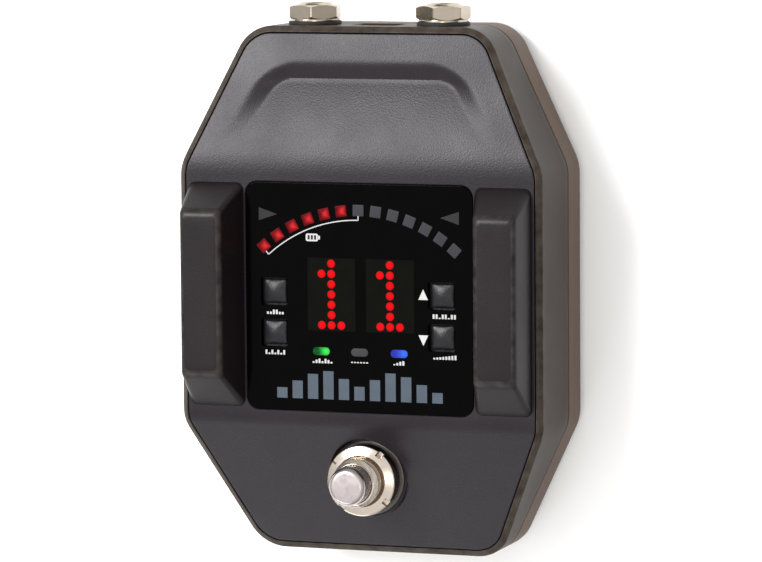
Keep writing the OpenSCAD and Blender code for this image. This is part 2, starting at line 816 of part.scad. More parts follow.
module radio_shield() {
    color([0.78, 0.78, 0.8]) difference() {
        box(0, window_y - 8, main_top, 34, 18, 3.4);
        box(0, window_y - 8, main_top - clear, 33, 17, 3 + clear);
        for (s = [-1, 1]) rod(s * 18.2, window_y - 8, main_top - clear, 1.8, 6);
    }
}

module capacitors() {
    color([0.15, 0.15, 0.3]) for (x = [-24, -16, 22]) rod(x, 16, main_top, 3.1, 8);
}

module processor_chip() {
    color([0.1, 0.1, 0.1]) box(4, 12, main_top, 12, 12, 1.2);
}

// Flat cable folded between the display board and the main board
module ribbon_cable() {
    color([0.7, 0.7, 0.72]) strip(0, [
        [22, board_top - board_t - 0.1], [22, 25.6], [22.4, 24.4], [23.4, 23.6], [24.8, 22.8], [25.2, 21.6],
        [24.8, 20.4], [23.4, 19.6], [22.4, 18.6], [22, 17.2], [22, main_top],
    ], 0.5, 16);
}

module board_screws() {
    color([0.75, 0.75, 0.76]) for (at = standoff_at)
        screw(at, main_top + 1.5, 2.6, 1.5, 1.25, main_t + 5, down = true);
}

// --- Tray, seam and feet ---

feet_at = [for (s = [-1, 1], y = [-44, 44]) [s * 27, body_y + y]];
foot_r = 6.5;
foot_inset = 0.8;

module bottom_tray() {
    rounding = [for (a = [0 : 22.5 : 90]) [tray_round * (1 - sin(a)), tray_z + tray_round * (1 - cos(a))]];
    color([0.36, 0.3, 0.27]) difference() {
        stack(concat([for (p = rounding) level_ring(p.x, p.y)], [level_ring(0, tray_top)]));
        difference() {
            prism(tray_wall, tray_floor, tray_top + clear);
            for (at = base_screw_at) rod(at.x, at.y, tray_z, boss_r, 20);
            for (at = standoff_at) rod(at.x, at.y, tray_z, 3, main_z - tray_z);
        }
        for (at = base_screw_at) {
            rod(at.x, at.y, tray_z - clear, base_screw_r + 0.15, 20);
            rod(at.x, at.y, tray_z - clear, base_head_r + 0.4, base_head_h + 0.4 + clear);
        }
        for (at = standoff_at) rod(at.x, at.y, main_z - 6, 1.3, 20);
        for (at = feet_at) rod(at.x, at.y, tray_z - clear, foot_r + 0.1, foot_inset + clear);
    }
}

module base_gasket() {
    color([0.04, 0.04, 0.04]) difference() {
        prism(0.5, tray_top, housing_z);
        difference() {
            prism(tray_wall, tray_top - clear, housing_z + clear);
            for (at = base_screw_at) rod(at.x, at.y, tray_top - clear, boss_r, 5);
        }
        for (at = base_screw_at) rod(at.x, at.y, tray_top - clear, base_screw_r + 0.15, 5);
    }
}

module base_screws() {
    color([0.6, 0.6, 0.62]) for (at = base_screw_at)
        screw(at, base_head_z, base_head_r, base_head_h, base_screw_r, 18);
}

module cover_screws() {
    color([0.6, 0.6, 0.62]) for (at = cover_screw_at)
        screw(at, cover_tab_z - 1.4, 2.2, 1.4, cover_screw_r, ledge_t + cover_gasket_t + 2);
}

module antenna_cover_screws() {
    color([0.6, 0.6, 0.62]) for (at = guard_screw_at)
        screw(at, cover_under - 1.4, 2.2, 1.4, guard_screw_r, cover_t + 5.5);
}

module rubber_feet() {
    color([0.07, 0.07, 0.07]) for (at = feet_at) translate([at.x, at.y, 0]) {
        cylinder(0.6, foot_r - 0.5, foot_r, $fn = 64);
        translate([0, 0, 0.6]) cylinder(tray_z + foot_inset - 0.6, foot_r, foot_r, $fn = 64);
    }
}

// --- One line per sub-part ---

housing();
top_cover();
cover_gasket();
antenna_cover_left();
antenna_cover_right();
antenna_board_left();
antenna_board_right();
antenna_cable_left();
antenna_cable_right();
display_window();
light_shroud();
display_board();
digit_left();
digit_right();
meter_lights_lit();
meter_lights_dark();
status_light_left();
status_light_middle();
status_light_right();
button_left_rear();
button_left_front();
button_right_rear();
button_right_front();
button_switches();
display_screws();
footswitch_cap();
footswitch_bushing();
footswitch_body();
footswitch_lugs();
footswitch_nut();
footswitch_washer();
footswitch_spring();
footswitch_cable();
jack_body_left();
jack_body_right();
jack_sleeve_left();
jack_sleeve_right();
jack_nuts();
jack_washers();
jack_seals();
jack_contacts();
power_socket();
power_socket_pin();
main_board();
radio_shield();
capacitors();
processor_chip();
ribbon_cable();
board_screws();
base_gasket();
bottom_tray();
base_screws();
cover_screws();
antenna_cover_screws();
rubber_feet();
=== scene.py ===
"""Floor-pedal wireless unit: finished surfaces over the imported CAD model.

Lengths are in millimetres until mesh_of() scales them to metres. The frame is the CAD's:
x to the right, y towards the jack wall, z up from the floor.
"""
import math

import bpy
import numpy as np
from mathutils import Matrix, Vector


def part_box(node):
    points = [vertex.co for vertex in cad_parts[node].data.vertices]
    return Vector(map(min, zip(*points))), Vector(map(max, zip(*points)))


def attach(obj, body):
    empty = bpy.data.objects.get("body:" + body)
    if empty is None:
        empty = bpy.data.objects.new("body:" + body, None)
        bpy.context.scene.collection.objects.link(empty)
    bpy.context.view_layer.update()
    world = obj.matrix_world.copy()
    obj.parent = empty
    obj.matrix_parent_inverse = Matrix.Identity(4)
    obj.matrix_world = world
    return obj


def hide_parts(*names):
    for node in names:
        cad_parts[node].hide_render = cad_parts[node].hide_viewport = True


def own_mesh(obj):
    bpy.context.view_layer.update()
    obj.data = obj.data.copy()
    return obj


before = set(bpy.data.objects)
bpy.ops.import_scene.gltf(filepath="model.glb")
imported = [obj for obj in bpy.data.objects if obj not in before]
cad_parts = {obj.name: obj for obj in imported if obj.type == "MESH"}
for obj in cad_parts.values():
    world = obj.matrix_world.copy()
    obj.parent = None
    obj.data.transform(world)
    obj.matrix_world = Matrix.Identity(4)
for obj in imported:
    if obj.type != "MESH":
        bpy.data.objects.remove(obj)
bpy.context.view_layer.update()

MM = 0.001


# --- Measures, read from the CAD nodes' boxes where a box holds them ---

def box_mm(node):
    """Lowest and highest corner of a CAD node in millimetres."""
    low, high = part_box(node)
    return np.array(low) / MM, np.array(high) / MM


HOUSING_LOW, HOUSING_HIGH = box_mm("housing")
TRAY_LOW, TRAY_HIGH = box_mm("bottom_tray")
WINDOW_LOW, WINDOW_HIGH = box_mm("display_window")
GUARD_LOW, GUARD_HIGH = box_mm("antenna_cover_right")
CAP_LOW, CAP_HIGH = box_mm("footswitch_cap")
BUSHING_LOW, BUSHING_HIGH = box_mm("footswitch_bushing")
NUT_LOW, NUT_HIGH = box_mm("footswitch_nut")
WASHER_LOW, WASHER_HIGH = box_mm("footswitch_washer")
SLEEVE_LOW, SLEEVE_HIGH = box_mm("jack_sleeve_right")
JACK_NUT_LOW, JACK_NUT_HIGH = box_mm("jack_nuts")
JACK_WASHER_LOW, JACK_WASHER_HIGH = box_mm("jack_washers")
JACK_SEAL_LOW, JACK_SEAL_HIGH = box_mm("jack_seals")
FOOT_LOW, FOOT_HIGH = box_mm("rubber_feet")

HALF_W = HOUSING_HIGH[0]
FRONT_Y, REAR_Y = HOUSING_LOW[1], HOUSING_HIGH[1]
BODY_Y = (FRONT_Y + REAR_Y) / 2
FACE_Z = HOUSING_HIGH[2]
HOUSING_Z = HOUSING_LOW[2]
WINDOW_Y = (WINDOW_LOW[1] + WINDOW_HIGH[1]) / 2
WINDOW_TOP = WINDOW_HIGH[2]
SWITCH_Y = (CAP_LOW[1] + CAP_HIGH[1]) / 2
JACK_X = (SLEEVE_LOW[0] + SLEEVE_HIGH[0]) / 2
JACK_Z = (SLEEVE_LOW[2] + SLEEVE_HIGH[2]) / 2

# Octagonal plan: corners of the right half, front to rear, with the radius of each corner
CORNERS = [
    (31.4, FRONT_Y, 9.5), (HALF_W, BODY_Y - 32.5, 11.0),
    (HALF_W, BODY_Y + 31.3, 11.0), (30.8, REAR_Y, 9.5),
]
WALL = 3.0
BEVEL_W, BEVEL_H = 1.3, 1.1
COVER_GAP = 0.25
RIM = 1.8
COVER_T = 3.0
LEDGE_W, LEDGE_T, LEDGE_DROP = 4.6, 2.0, 3.4

# Top face: a flat middle that falls away behind the rear crease and before the front crease
REAR_SLOPE, REAR_CREASE, REAR_BLEND = 0.208, WINDOW_Y + 33.0, 6.0
FRONT_SLOPE, FRONT_CREASE, FRONT_BLEND = 0.43, WINDOW_Y - 30.5, 4.0

# Holes in the jack wall and in the jacks, and the nuts' turns from a corner at the top
JACK_HOLE_R, JACK_BORE_R, JACK_FLANGE_R = 4.86, 3.25, 4.5
POWER_HALF_W, POWER_HALF_H = 5.7, 4.5
JACK_NUT_CORNER = 6.9
JACK_NUT_TURN = {"left": 19.0, "right": 33.0}

# Footswitch seat
PAD_R = 10.0
PAD_Z = WASHER_LOW[2]
SEAT_ROUND = 0.45


# --- Meshes from arrays ---

def signed_volume(points, faces):
    """Sum over all faces' fans of the tetrahedra that they make with the origin."""
    total = 0.0
    for face in faces:
        corners = points[np.asarray(face)]
        total += np.sum(np.cross(corners[1:-1], corners[2:]) @ corners[0])
    return total


def mesh_of(name, points, faces):
    """Object with a closed mesh in metres whose faces point outwards."""
    points = np.asarray(points, float).reshape(-1, 3)
    if signed_volume(points, faces) < 0:
        faces = [face[::-1] for face in faces]
    mesh = bpy.data.meshes.new(name)
    mesh.from_pydata((points * MM).tolist(), [], [list(map(int, face)) for face in faces])
    mesh.validate()
    thing = bpy.data.objects.new(name, mesh)
    bpy.context.scene.collection.objects.link(thing)
    return thing


def loft_faces(ring_count, size, wrap):
    """Quads between neighbouring rings of equal size. The last ring joins the first when wrap is true, and
    otherwise both end rings are capped."""
    index = np.arange(ring_count * size).reshape(ring_count, size)
    below = index if wrap else index[:-1]
    above = np.roll(index, -1, axis=0) if wrap else index[1:]
    quads = np.stack([below, np.roll(below, -1, 1), np.roll(above, -1, 1), above], axis=-1)
    faces = quads.reshape(-1, 4).tolist()
    if not wrap:
        faces += [index[0][::-1].tolist(), index[-1].tolist()]
    return faces


def loft(name, rings, wrap=False):
    """Skin over rings of points: an open pile is capped at both ends, a wrapped one closes like a tube."""
    rings = np.asarray(rings, float)
    return mesh_of(name, rings, loft_faces(rings.shape[0], rings.shape[1], wrap))


def soften(profile, setback, steps=4):
    """Profile with each inner corner replaced by a parabola that leaves the straights a setback before it."""
    profile = [np.asarray(p, float) for p in profile]
    share = np.linspace(0, 1, steps + 1)[:, None]
    rounded = [profile[0][None]]
    for before, corner, after in zip(profile, profile[1:], profile[2:]):
        back, on = before - corner, after - corner
        length = min(setback, 0.45 * np.linalg.norm(back), 0.45 * np.linalg.norm(on))
        start = corner + back / np.linalg.norm(back) * length
        end = corner + on / np.linalg.norm(on) * length
        rounded.append((1 - share) ** 2 * start + 2 * share * (1 - share) * corner + share ** 2 * end)
    rounded.append(profile[-1][None])
    return np.concatenate(rounded)


def rounded_rect(x0, x1, y0, y1, radius, steps=8, along=0):
    """Rectangle with a quarter circle at each corner, counterclockwise from the right side. Each straight
    side after a corner can be divided by a number of extra points along it."""
    turn = np.radians(np.linspace(0, 90, steps + 1))
    quarters = []
    for k, (x, y) in enumerate([(x1, y1), (x0, y1), (x0, y0), (x1, y0)]):
        angle = turn + k * math.pi / 2
        inward = np.array([-radius if k in (0, 3) else radius, -radius if k in (0, 1) else radius])
        middle = np.array([x, y]) + inward
        quarters.append(middle + radius * np.stack([np.cos(angle), np.sin(angle)], 1))
    share = np.linspace(0, 1, along + 2)[1:-1, None]
    for k in range(4):
        start, end = quarters[k][-1], quarters[(k + 1) % 4][0]
        quarters[k] = np.concatenate([quarters[k], start + share * (end - start)])
    return np.concatenate(quarters)


def at_height(outline, z):
    """Flat outline lifted to a height, which may differ from point to point."""
    return np.column_stack([outline, np.broadcast_to(z, len(outline))])


def circle_rings(radius, z, centre, count=96):
    """Rings about an upright axis: radius and z are columns, or whole arrays of ring by angle."""
    angle = np.linspace(0, 2 * math.pi, count, endpoint=False)
    radius = np.broadcast_to(np.asarray(radius, float).reshape(len(z), -1), (len(z), count))
    z = np.broadcast_to(np.asarray(z, float).reshape(len(z), -1), (len(z), count))
    return np.stack([centre[0] + radius * np.cos(angle), centre[1] + radius * np.sin(angle), z], axis=-1)


def turned(name, profile, centre, count=96, wrap=False):
    """Solid turned about an upright axis from a profile of radius and height."""
    return loft(name, circle_rings(profile[:, :1], profile[:, 1], centre, count), wrap)


def ring_profile(bore, radius, z0, z1, ease):
    """Profile of a flat ring with eased edges, which closes on itself in the middle of its underside."""
    middle = (bore + radius) / 2
    closed = [(middle, z0), (radius, z0), (radius, z1), (bore, z1), (bore, z0), (middle, z0)]
    return soften(closed, ease)[:-1]


def lie_along_y(rings, x, z):
    """Turns rings made about the upright axis so that their axis runs along y, through x and z."""
    return np.stack([x + rings[..., 0], rings[..., 2], z - rings[..., 1]], axis=-1)


def carve(piece, *cutters):
    """Takes the cutters' solids out of the piece and deletes them."""
    for cutter in cutters:
        cut = piece.modifiers.new("cut", "BOOLEAN")
        cut.operation, cut.solver, cut.object = "DIFFERENCE", "EXACT", cutter
    solid = piece.evaluated_get(bpy.context.evaluated_depsgraph_get())
    carved = bpy.data.meshes.new_from_object(solid)
    piece.modifiers.clear()
    piece.data = carved
    for cutter in cutters:
        bpy.data.objects.remove(cutter)
    return piece


def paint_node(name, material):
    """Gives a CAD node its material in place of the one it came with."""
    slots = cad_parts[name].data.materials
    slots.clear()
    slots.append(material)


def finish(piece, material, body="pedal", stands_for=(), crease=32):
    """Shading, material and the piece's place in the model."""
    mesh = piece.data
    mesh.polygons.foreach_set("use_smooth", np.ones(len(mesh.polygons), bool))
    mesh.set_sharp_from_angle(angle=math.radians(crease))
    mesh.materials.clear()
    mesh.materials.append(material)
    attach(piece, body)
    for name in stands_for:
        paint_node(name, material)
    if stands_for:
        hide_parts(*stands_for)
    return piece


def paint_attribute(piece, name, values):
    """Stores one number per point under a name that materials can read."""
    attribute = piece.data.attributes.new(name, "FLOAT", "POINT")
    attribute.data.foreach_set("value", np.asarray(values, np.float32).ravel())


# --- Octagonal plan and the top face ---

def right_side(spacing=0.8, arc_steps=10):
    """Right half of the plan, front to rear: arcs at the four corners and evenly divided straights between
    them, as points and inward normals. Moving every point along its normal offsets the whole plan."""
    middle = [np.array(c[:2]) for c in CORNERS]
    chain = [middle[0] * [-1, 1], *middle, middle[3] * [-1, 1]]
    points, normals = [], []
    for before, corner, after, (_, _, radius) in zip(chain, chain[1:], chain[2:], CORNERS):
        along = (corner - before) / np.linalg.norm(corner - before)
        onward = (after - corner) / np.linalg.norm(after - corner)
        turn = math.acos(along @ onward)
        left = np.array([-along[1], along[0]])
        centre = corner - along * radius * math.tan(turn / 2) + radius * left
        angle = math.atan2(-left[1], -left[0]) + turn * np.linspace(0, 1, arc_steps + 1)
        outward = np.stack([np.cos(angle), np.sin(angle)], 1)
        arc = centre + radius * outward
        if points:
            start, count = points[-1][-1], math.ceil(np.linalg.norm(arc[0] - points[-1][-1]) / spacing)
            share = np.linspace(0, 1, count + 1)[1:-1, None]
            points.append(start + share * (arc[0] - start))
            normals.append(np.repeat(-outward[:1], len(share), 0))
        points.append(arc)
        normals.append(-outward)
    return np.concatenate(points), np.concatenate(normals)


SIDE, SIDE_IN = right_side()


def plan(inset):
    """Whole plan moved inwards, counterclockwise from the front edge's right end."""
    half = SIDE + inset * SIDE_IN
    return np.concatenate([half, half[::-1] * [-1, 1]])


def soft_ramp(s, width):
    """Nothing below -width/2, s itself above width/2 and a parabola that joins them."""
    return np.where(s <= -width / 2, 0, np.where(s >= width / 2, s, (s + width / 2) ** 2 / (2 * width)))


def top_z(y):
    """Height of the top face: level in the middle, falling beyond each crease."""
    return (FACE_Z - REAR_SLOPE * soft_ramp(y - REAR_CREASE, REAR_BLEND)
            - FRONT_SLOPE * soft_ramp(FRONT_CREASE - y, FRONT_BLEND))


def level_ring(inset, z):
    """Plan ring at one height."""
    return at_height(plan(inset), z)


def face_ring(inset, drop):
    """Plan ring that lies a drop below the top face, or below the bevel's inner edge for rings outside it."""
    return at_height(plan(inset), top_z(plan(max(inset, BEVEL_W))[:, 1]) - drop)


# --- Node groups and materials ---

def srgb(*value):
    """Linear colour from 0 to 255 display values."""
    v = np.array(value) / 255
    return (*np.where(v <= 0.04045, v / 12.92, ((v + 0.055) / 1.055) ** 2.4), 1.0)


def node(tree, kind, links=None, settings=None, **values):
    """Adds a node: settings are its own properties, values its sockets' numbers, links their sources."""
    new = tree.nodes.new(kind)
    for key, value in (settings or {}).items():
        setattr(new, key, value)
    for key, value in values.items():
        new.inputs[key.replace("_", " ")].default_value = value
    for key, source in (links or {}).items():
        tree.links.new(source, new.inputs[key])
    return new


def new_group(name, inputs, outputs):
    """Empty shader node group with named sockets, and its two end nodes."""
    group = bpy.data.node_groups.new(name, "ShaderNodeTree")
    for label, kind, value in inputs:
        socket = group.interface.new_socket(label, in_out="INPUT", socket_type=kind)
        if value is not None:
            socket.default_value = value
    for label, kind in outputs:
        group.interface.new_socket(label, in_out="OUTPUT", socket_type=kind)
    return group, group.nodes.new("NodeGroupInput"), group.nodes.new("NodeGroupOutput")


def fine_grain_group():
    """Powder-coat texture: a fine bump, and a slow mottle for colour and roughness."""
    group, start, end = new_group(
        "fine_grain",
        [("Vector", "NodeSocketVector", None), ("Grain Scale", "NodeSocketFloat", 2600.0),
         ("Mottle Scale", "NodeSocketFloat", 60.0)],
        [("Height", "NodeSocketFloat"), ("Mottle", "NodeSocketFloat"), ("Speck", "NodeSocketFloat")])
    grain = node(group, "ShaderNodeTexNoise", {"Vector": start.outputs["Vector"],
                                               "Scale": start.outputs["Grain Scale"]}, Detail=2.0)
    mottle = node(group, "ShaderNodeTexNoise", {"Vector": start.outputs["Vector"],
                                                "Scale": start.outputs["Mottle Scale"]}, Detail=4.0)
    speck = node(group, "ShaderNodeMapRange", {"Value": grain.outputs["Fac"]}, From_Min=0.6, From_Max=0.78)
    group.links.new(grain.outputs["Fac"], end.inputs["Height"])
    group.links.new(mottle.outputs["Fac"], end.inputs["Mottle"])
    group.links.new(speck.outputs["Result"], end.inputs["Speck"])
    return group


def worn_edge_and_sheen_group():
    """Mask of the lighter edge colour, partly worn paint and partly painted highlight: an edge amount broken
    up by noise.
    """
    group, start, end = new_group(
        "worn_edge_and_sheen",
        [("Vector", "NodeSocketVector", None), ("Edge", "NodeSocketFloat", 0.0),
         ("Scale", "NodeSocketFloat", 300.0), ("Amount", "NodeSocketFloat", 0.5)],
        [("Mask", "NodeSocketFloat")])
    rub = node(group, "ShaderNodeTexNoise", {"Vector": start.outputs["Vector"],
                                             "Scale": start.outputs["Scale"]}, Detail=5.0)
    spread = node(group, "ShaderNodeMapRange", {"Value": rub.outputs["Fac"]}, From_Min=0.3, From_Max=0.65)
    edge = node(group, "ShaderNodeMath", {0: spread.outputs["Result"], 1: start.outputs["Edge"]},
                {"operation": "MULTIPLY"})
    amount = node(group, "ShaderNodeMath", {0: edge.outputs[0], 1: start.outputs["Amount"]},
                  {"operation": "MULTIPLY", "use_clamp": True})
    group.links.new(amount.outputs[0], end.inputs["Mask"])
    return group


def turned_group():
    """Lathe marks: noise along the distance from the axis, plus a fine scatter."""
    group, start, end = new_group(
        "turned_marks",
        [("Vector", "NodeSocketVector", None), ("Marks Scale", "NodeSocketFloat", 4000.0)],
        [("Height", "NodeSocketFloat"), ("Haze", "NodeSocketFloat")])
    split = node(group, "ShaderNodeSeparateXYZ", {0: start.outputs["Vector"]})
    flat = node(group, "ShaderNodeCombineXYZ", {0: split.outputs[0], 1: split.outputs[1]})
    radius = node(group, "ShaderNodeVectorMath", {0: flat.outputs[0]}, {"operation": "LENGTH"})
    marks = node(group, "ShaderNodeTexNoise", {"W": radius.outputs["Value"],
                                               "Scale": start.outputs["Marks Scale"]},
                 {"noise_dimensions": "1D"}, Detail=3.0)
    haze = node(group, "ShaderNodeTexNoise", {"Vector": start.outputs["Vector"]}, Scale=450.0, Detail=4.0)
    group.links.new(marks.outputs["Fac"], end.inputs["Height"])
    group.links.new(haze.outputs["Fac"], end.inputs["Haze"])
    return group


FINE_GRAIN, WORN_EDGE_AND_SHEEN, TURNED_MARKS = fine_grain_group(), worn_edge_and_sheen_group(), turned_group()


def new_material(name, **shader):
    """Material with its shader's plain values set, and its Object coordinates."""
    material = bpy.data.materials.new(name)
    material.use_nodes = True
    tree = material.node_tree
    bsdf = tree.nodes["Principled BSDF"]
    for key, value in shader.items():
        bsdf.inputs[key.replace("_", " ")].default_value = value
    coords = node(tree, "ShaderNodeTexCoord").outputs["Object"]
    return material, tree, bsdf, coords


def placed(tree, group, links, **values):
    """Puts a node group into a material."""
    return node(tree, "ShaderNodeGroup", links, {"node_tree": group}, **values)


def mix_colour(tree, factor, first, second):
    """Blend of two colours, either of which may be a socket."""
    new = tree.nodes.new("ShaderNodeMix")
    new.data_type = "RGBA"
    tree.links.new(factor, new.inputs["Factor"])
    for socket, value in ((new.inputs[6], first), (new.inputs[7], second)):
        if isinstance(value, tuple):
            socket.default_value = value
        else:
            tree.links.new(value, socket)
    return new.outputs[2]


def spread_value(tree, source, low, high, low_in=0.3, high_in=0.7):
    """A 0 to 1 pattern turned into values between low and high."""
    return node(tree, "ShaderNodeMapRange", {"Value": source}, From_Min=low_in, From_Max=high_in,
                To_Min=low, To_Max=high).outputs["Result"]


def bump_into(tree, bsdf, height, distance):
    """Raises the surface by a pattern, whose full range stands for a distance in metres."""
    bump = node(tree, "ShaderNodeBump", {"Height": height}, Strength=1.0, Distance=distance)
    tree.links.new(bump.outputs["Normal"], bsdf.inputs["Normal"])


def shade(colour, factor):
    """Colour made darker or lighter by a factor, no channel above 1."""
    return (*(min(1.0, c * factor) for c in colour[:3]), 1.0)


POWDER_GRAIN = 2600.0
# Lighter colour for marked edges: partly worn paint, partly a painted highlight on ridges and the rim's
# bevel.
RUBBED_PAINT_AND_SHEEN = srgb(150, 145, 135)


def powder_coat(name, colour, rough, specular, depth=0.00004, wear_and_sheen=0.1):
    """Painted metal: fine orange-peel grain, slow mottle, light specks and a lighter colour along the edges
    that a piece marks, partly paint worn thin and partly a painted highlight."""
    material, tree, bsdf, coords = new_material(name, Specular_IOR_Level=specular)
    grain_node = placed(tree, FINE_GRAIN, {"Vector": coords}, Grain_Scale=POWDER_GRAIN)
    edge = node(tree, "ShaderNodeAttribute", settings={"attribute_name": "edge"})
    # The marked edges take the lighter colour: partly worn paint, partly a painted highlight.
    rubbed_and_sheen = placed(tree, WORN_EDGE_AND_SHEEN, {"Vector": coords, "Edge": edge.outputs["Fac"]}, Amount=wear_and_sheen)
    base = mix_colour(tree, grain_node.outputs["Mottle"], shade(colour, 0.86), shade(colour, 1.14))
    specks = mix_colour(tree, grain_node.outputs["Speck"], base, shade(colour, 2.0))
    tree.links.new(mix_colour(tree, rubbed_and_sheen.outputs["Mask"], specks, RUBBED_PAINT_AND_SHEEN), bsdf.inputs["Base Color"])
    tree.links.new(spread_value(tree, grain_node.outputs["Mottle"], rough - 0.03, rough + 0.04),
                   bsdf.inputs["Roughness"])
    bump_into(tree, bsdf, grain_node.outputs["Height"], depth)
    return material


GLOSS_GRAIN = 0.000001


def moulded(name, colour, rough, grain=3500.0, depth=0.00001, specular=0.5):
    """Plastic, rubber or ink: one colour with a faint mottle and a fine moulded grain."""
    material, tree, bsdf, coords = new_material(name, Specular_IOR_Level=specular)
    grain_node = placed(tree, FINE_GRAIN, {"Vector": coords}, Grain_Scale=grain, Mottle_Scale=250.0)
    tree.links.new(mix_colour(tree, grain_node.outputs["Mottle"], shade(colour, 0.85), shade(colour, 1.18)),
                   bsdf.inputs["Base Color"])
    tree.links.new(spread_value(tree, grain_node.outputs["Mottle"], rough - 0.04, rough + 0.06),
                   bsdf.inputs["Roughness"])
    bump_into(tree, bsdf, grain_node.outputs["Height"], depth)
    return material


LATHE_DEPTH = 0.000004


def plated(name, colour, rough, marks=4000.0, axis=(0.0, 0.0, 0.0), along_y=False):
    """Plated or bare metal: turning marks about the given axis point, and a haze in the gloss."""
    material, tree, bsdf, coords = new_material(name, Metallic=1.0)
    moved = node(tree, "ShaderNodeMapping", {"Vector": coords})
    moved.inputs["Location"].default_value = [-value * MM for value in axis]
    centred = moved.outputs["Vector"]
    if along_y:
        split = node(tree, "ShaderNodeSeparateXYZ", {0: centred})
        centred = node(tree, "ShaderNodeCombineXYZ", {0: split.outputs[0], 1: split.outputs[2],
                                                      2: split.outputs[1]}).outputs[0]
    lathe = placed(tree, TURNED_MARKS, {"Vector": centred}, Marks_Scale=marks)
    tree.links.new(mix_colour(tree, lathe.outputs["Haze"], shade(colour, 0.9), shade(colour, 1.07)),
                   bsdf.inputs["Base Color"])
    tree.links.new(spread_value(tree, lathe.outputs["Haze"], rough * 0.75, rough * 1.3),
                   bsdf.inputs["Roughness"])
    bump_into(tree, bsdf, lathe.outputs["Height"], LATHE_DEPTH)
    return material


def board_material(name, colour):
    """Circuit board: solder mask with faint copper runs under it."""
    material, tree, bsdf, coords = new_material(name, Coat_Weight=0.3)
    runs = node(tree, "ShaderNodeTexBrick", {"Vector": coords}, Scale=320.0, Mortar_Size=0.03,
                Color1=shade(colour, 0.8), Color2=shade(colour, 1.1), Mortar=shade(colour, 1.9))
    tree.links.new(runs.outputs["Color"], bsdf.inputs["Base Color"])
    grain_node = placed(tree, FINE_GRAIN, {"Vector": coords})
    tree.links.new(spread_value(tree, grain_node.outputs["Mottle"], 0.3, 0.42), bsdf.inputs["Roughness"])
    return material


def light_material(name, rim_colour, core_colour):
    """Light seen through the window: its colour runs from rim to core by the glow stored on the mesh."""
    material, tree, bsdf, coords = new_material(name, Roughness=0.3, Specular_IOR_Level=0.05)
    glow = node(tree, "ShaderNodeAttribute", settings={"attribute_name": "glow"})
    grain_node = placed(tree, FINE_GRAIN, {"Vector": coords}, Mottle_Scale=900.0)
    flicker = spread_value(tree, grain_node.outputs["Mottle"], -0.08, 0.08)
    core = node(tree, "ShaderNodeMath", {0: glow.outputs["Fac"], 1: flicker},
                {"operation": "ADD", "use_clamp": True})
    shine = mix_colour(tree, core.outputs[0], rim_colour, core_colour)
    tree.links.new(shine, bsdf.inputs["Emission Color"])
    tree.links.new(mix_colour(tree, core.outputs[0], shade(rim_colour, 0.05), shade(rim_colour, 0.1)),
                   bsdf.inputs["Base Color"])
    bsdf.inputs["Emission Strength"].default_value = 1.0
    return material


COVER_PAINT = powder_coat("cover_paint", (0.0110, 0.0084, 0.0116, 1), rough=0.34, specular=0.20)
HOUSING_PAINT = powder_coat("housing_paint", (0.0210, 0.0135, 0.0100, 1), rough=0.42, specular=0.11)
TRAY_PAINT = powder_coat("tray_paint", (0.080, 0.051, 0.035, 1), rough=0.48, specular=0.17)
# The guards' brows take less of the lighter edge colour, which is partly worn paint and partly painted
# highlight.
GUARD_FINISH = powder_coat("antenna_cover_finish", (0.0080, 0.0056, 0.0064, 1), rough=0.36, specular=0.16,
                           depth=0.00003, wear_and_sheen=0.06)
WINDOW_ACRYLIC = moulded("window_acrylic", (0.0008, 0.0006, 0.0006, 1), rough=0.12, depth=GLOSS_GRAIN,
                         specular=0.03)
BUTTON_RUBBER = moulded("button_rubber", srgb(22, 22, 25), rough=0.34, grain=1400.0, depth=0.00006,
                        specular=0.22)
BLACK_PLASTIC = moulded("black_plastic", srgb(28, 28, 28), rough=0.45)
BLUE_PLASTIC = moulded("blue_plastic", srgb(30, 52, 110), rough=0.4)
RUBBER = moulded("foot_rubber", srgb(24, 24, 25), rough=0.75, grain=1200.0, depth=0.00003)
GASKET_RUBBER = moulded("gasket_rubber", srgb(12, 12, 12), rough=0.7)
CABLE_JACKET = moulded("cable_jacket", srgb(30, 30, 32), rough=0.5)
RIBBON = moulded("ribbon_insulation", srgb(150, 150, 152), rough=0.5)
NICKEL = plated("nickel_polished", (0.50, 0.44, 0.38, 1), 0.17, axis=(0, SWITCH_Y, 0))
NICKEL_SATIN = plated("nickel_satin", (0.42, 0.375, 0.37, 1), 0.28, marks=2500.0, axis=(0, SWITCH_Y, 0))
JACK_NICKEL = {
    side: plated(f"jack_nickel_{side}", (0.38, 0.33, 0.265, 1), 0.2, axis=(x, 0, JACK_Z), along_y=True)
    for side, x in (("left", -JACK_X), ("right", JACK_X))
}
STEEL = plated("screw_steel", (0.55, 0.55, 0.56, 1), 0.3)
BLACK_STEEL = plated("blackened_steel", (0.10, 0.095, 0.09, 1), 0.4, axis=(0, SWITCH_Y, 0))
SPRING_STEEL = plated("spring_steel", (0.6, 0.6, 0.62, 1), 0.25)
BRASS = plated("contact_brass", (0.78, 0.60, 0.32, 1), 0.28)
SHIELD_METAL = plated("shield_tin", (0.7, 0.7, 0.72, 1), 0.35, marks=800.0)
BOARD = board_material("circuit_board", srgb(20, 80, 50))
RED_LIGHT = light_material("red_light", srgb(170, 0, 12), srgb(250, 8, 16))
RED_SQUARE = light_material("red_square", srgb(96, 2, 12), srgb(245, 46, 52))
GREEN_LIGHT = light_material("green_light", srgb(6, 72, 30), srgb(70, 250, 90))
BLUE_LIGHT = light_material("blue_light", srgb(48, 54, 170), srgb(60, 120, 255))
DARK_LIGHT = moulded("dark_light", srgb(46, 46, 51), rough=0.4, specular=0.1)
GREY_LIGHT = moulded("grey_light", srgb(50, 50, 52), rough=0.4, specular=0.1)
DIGIT_FIELD = moulded("digit_field", srgb(10, 11, 8), rough=0.25, depth=GLOSS_GRAIN, specular=0.02)
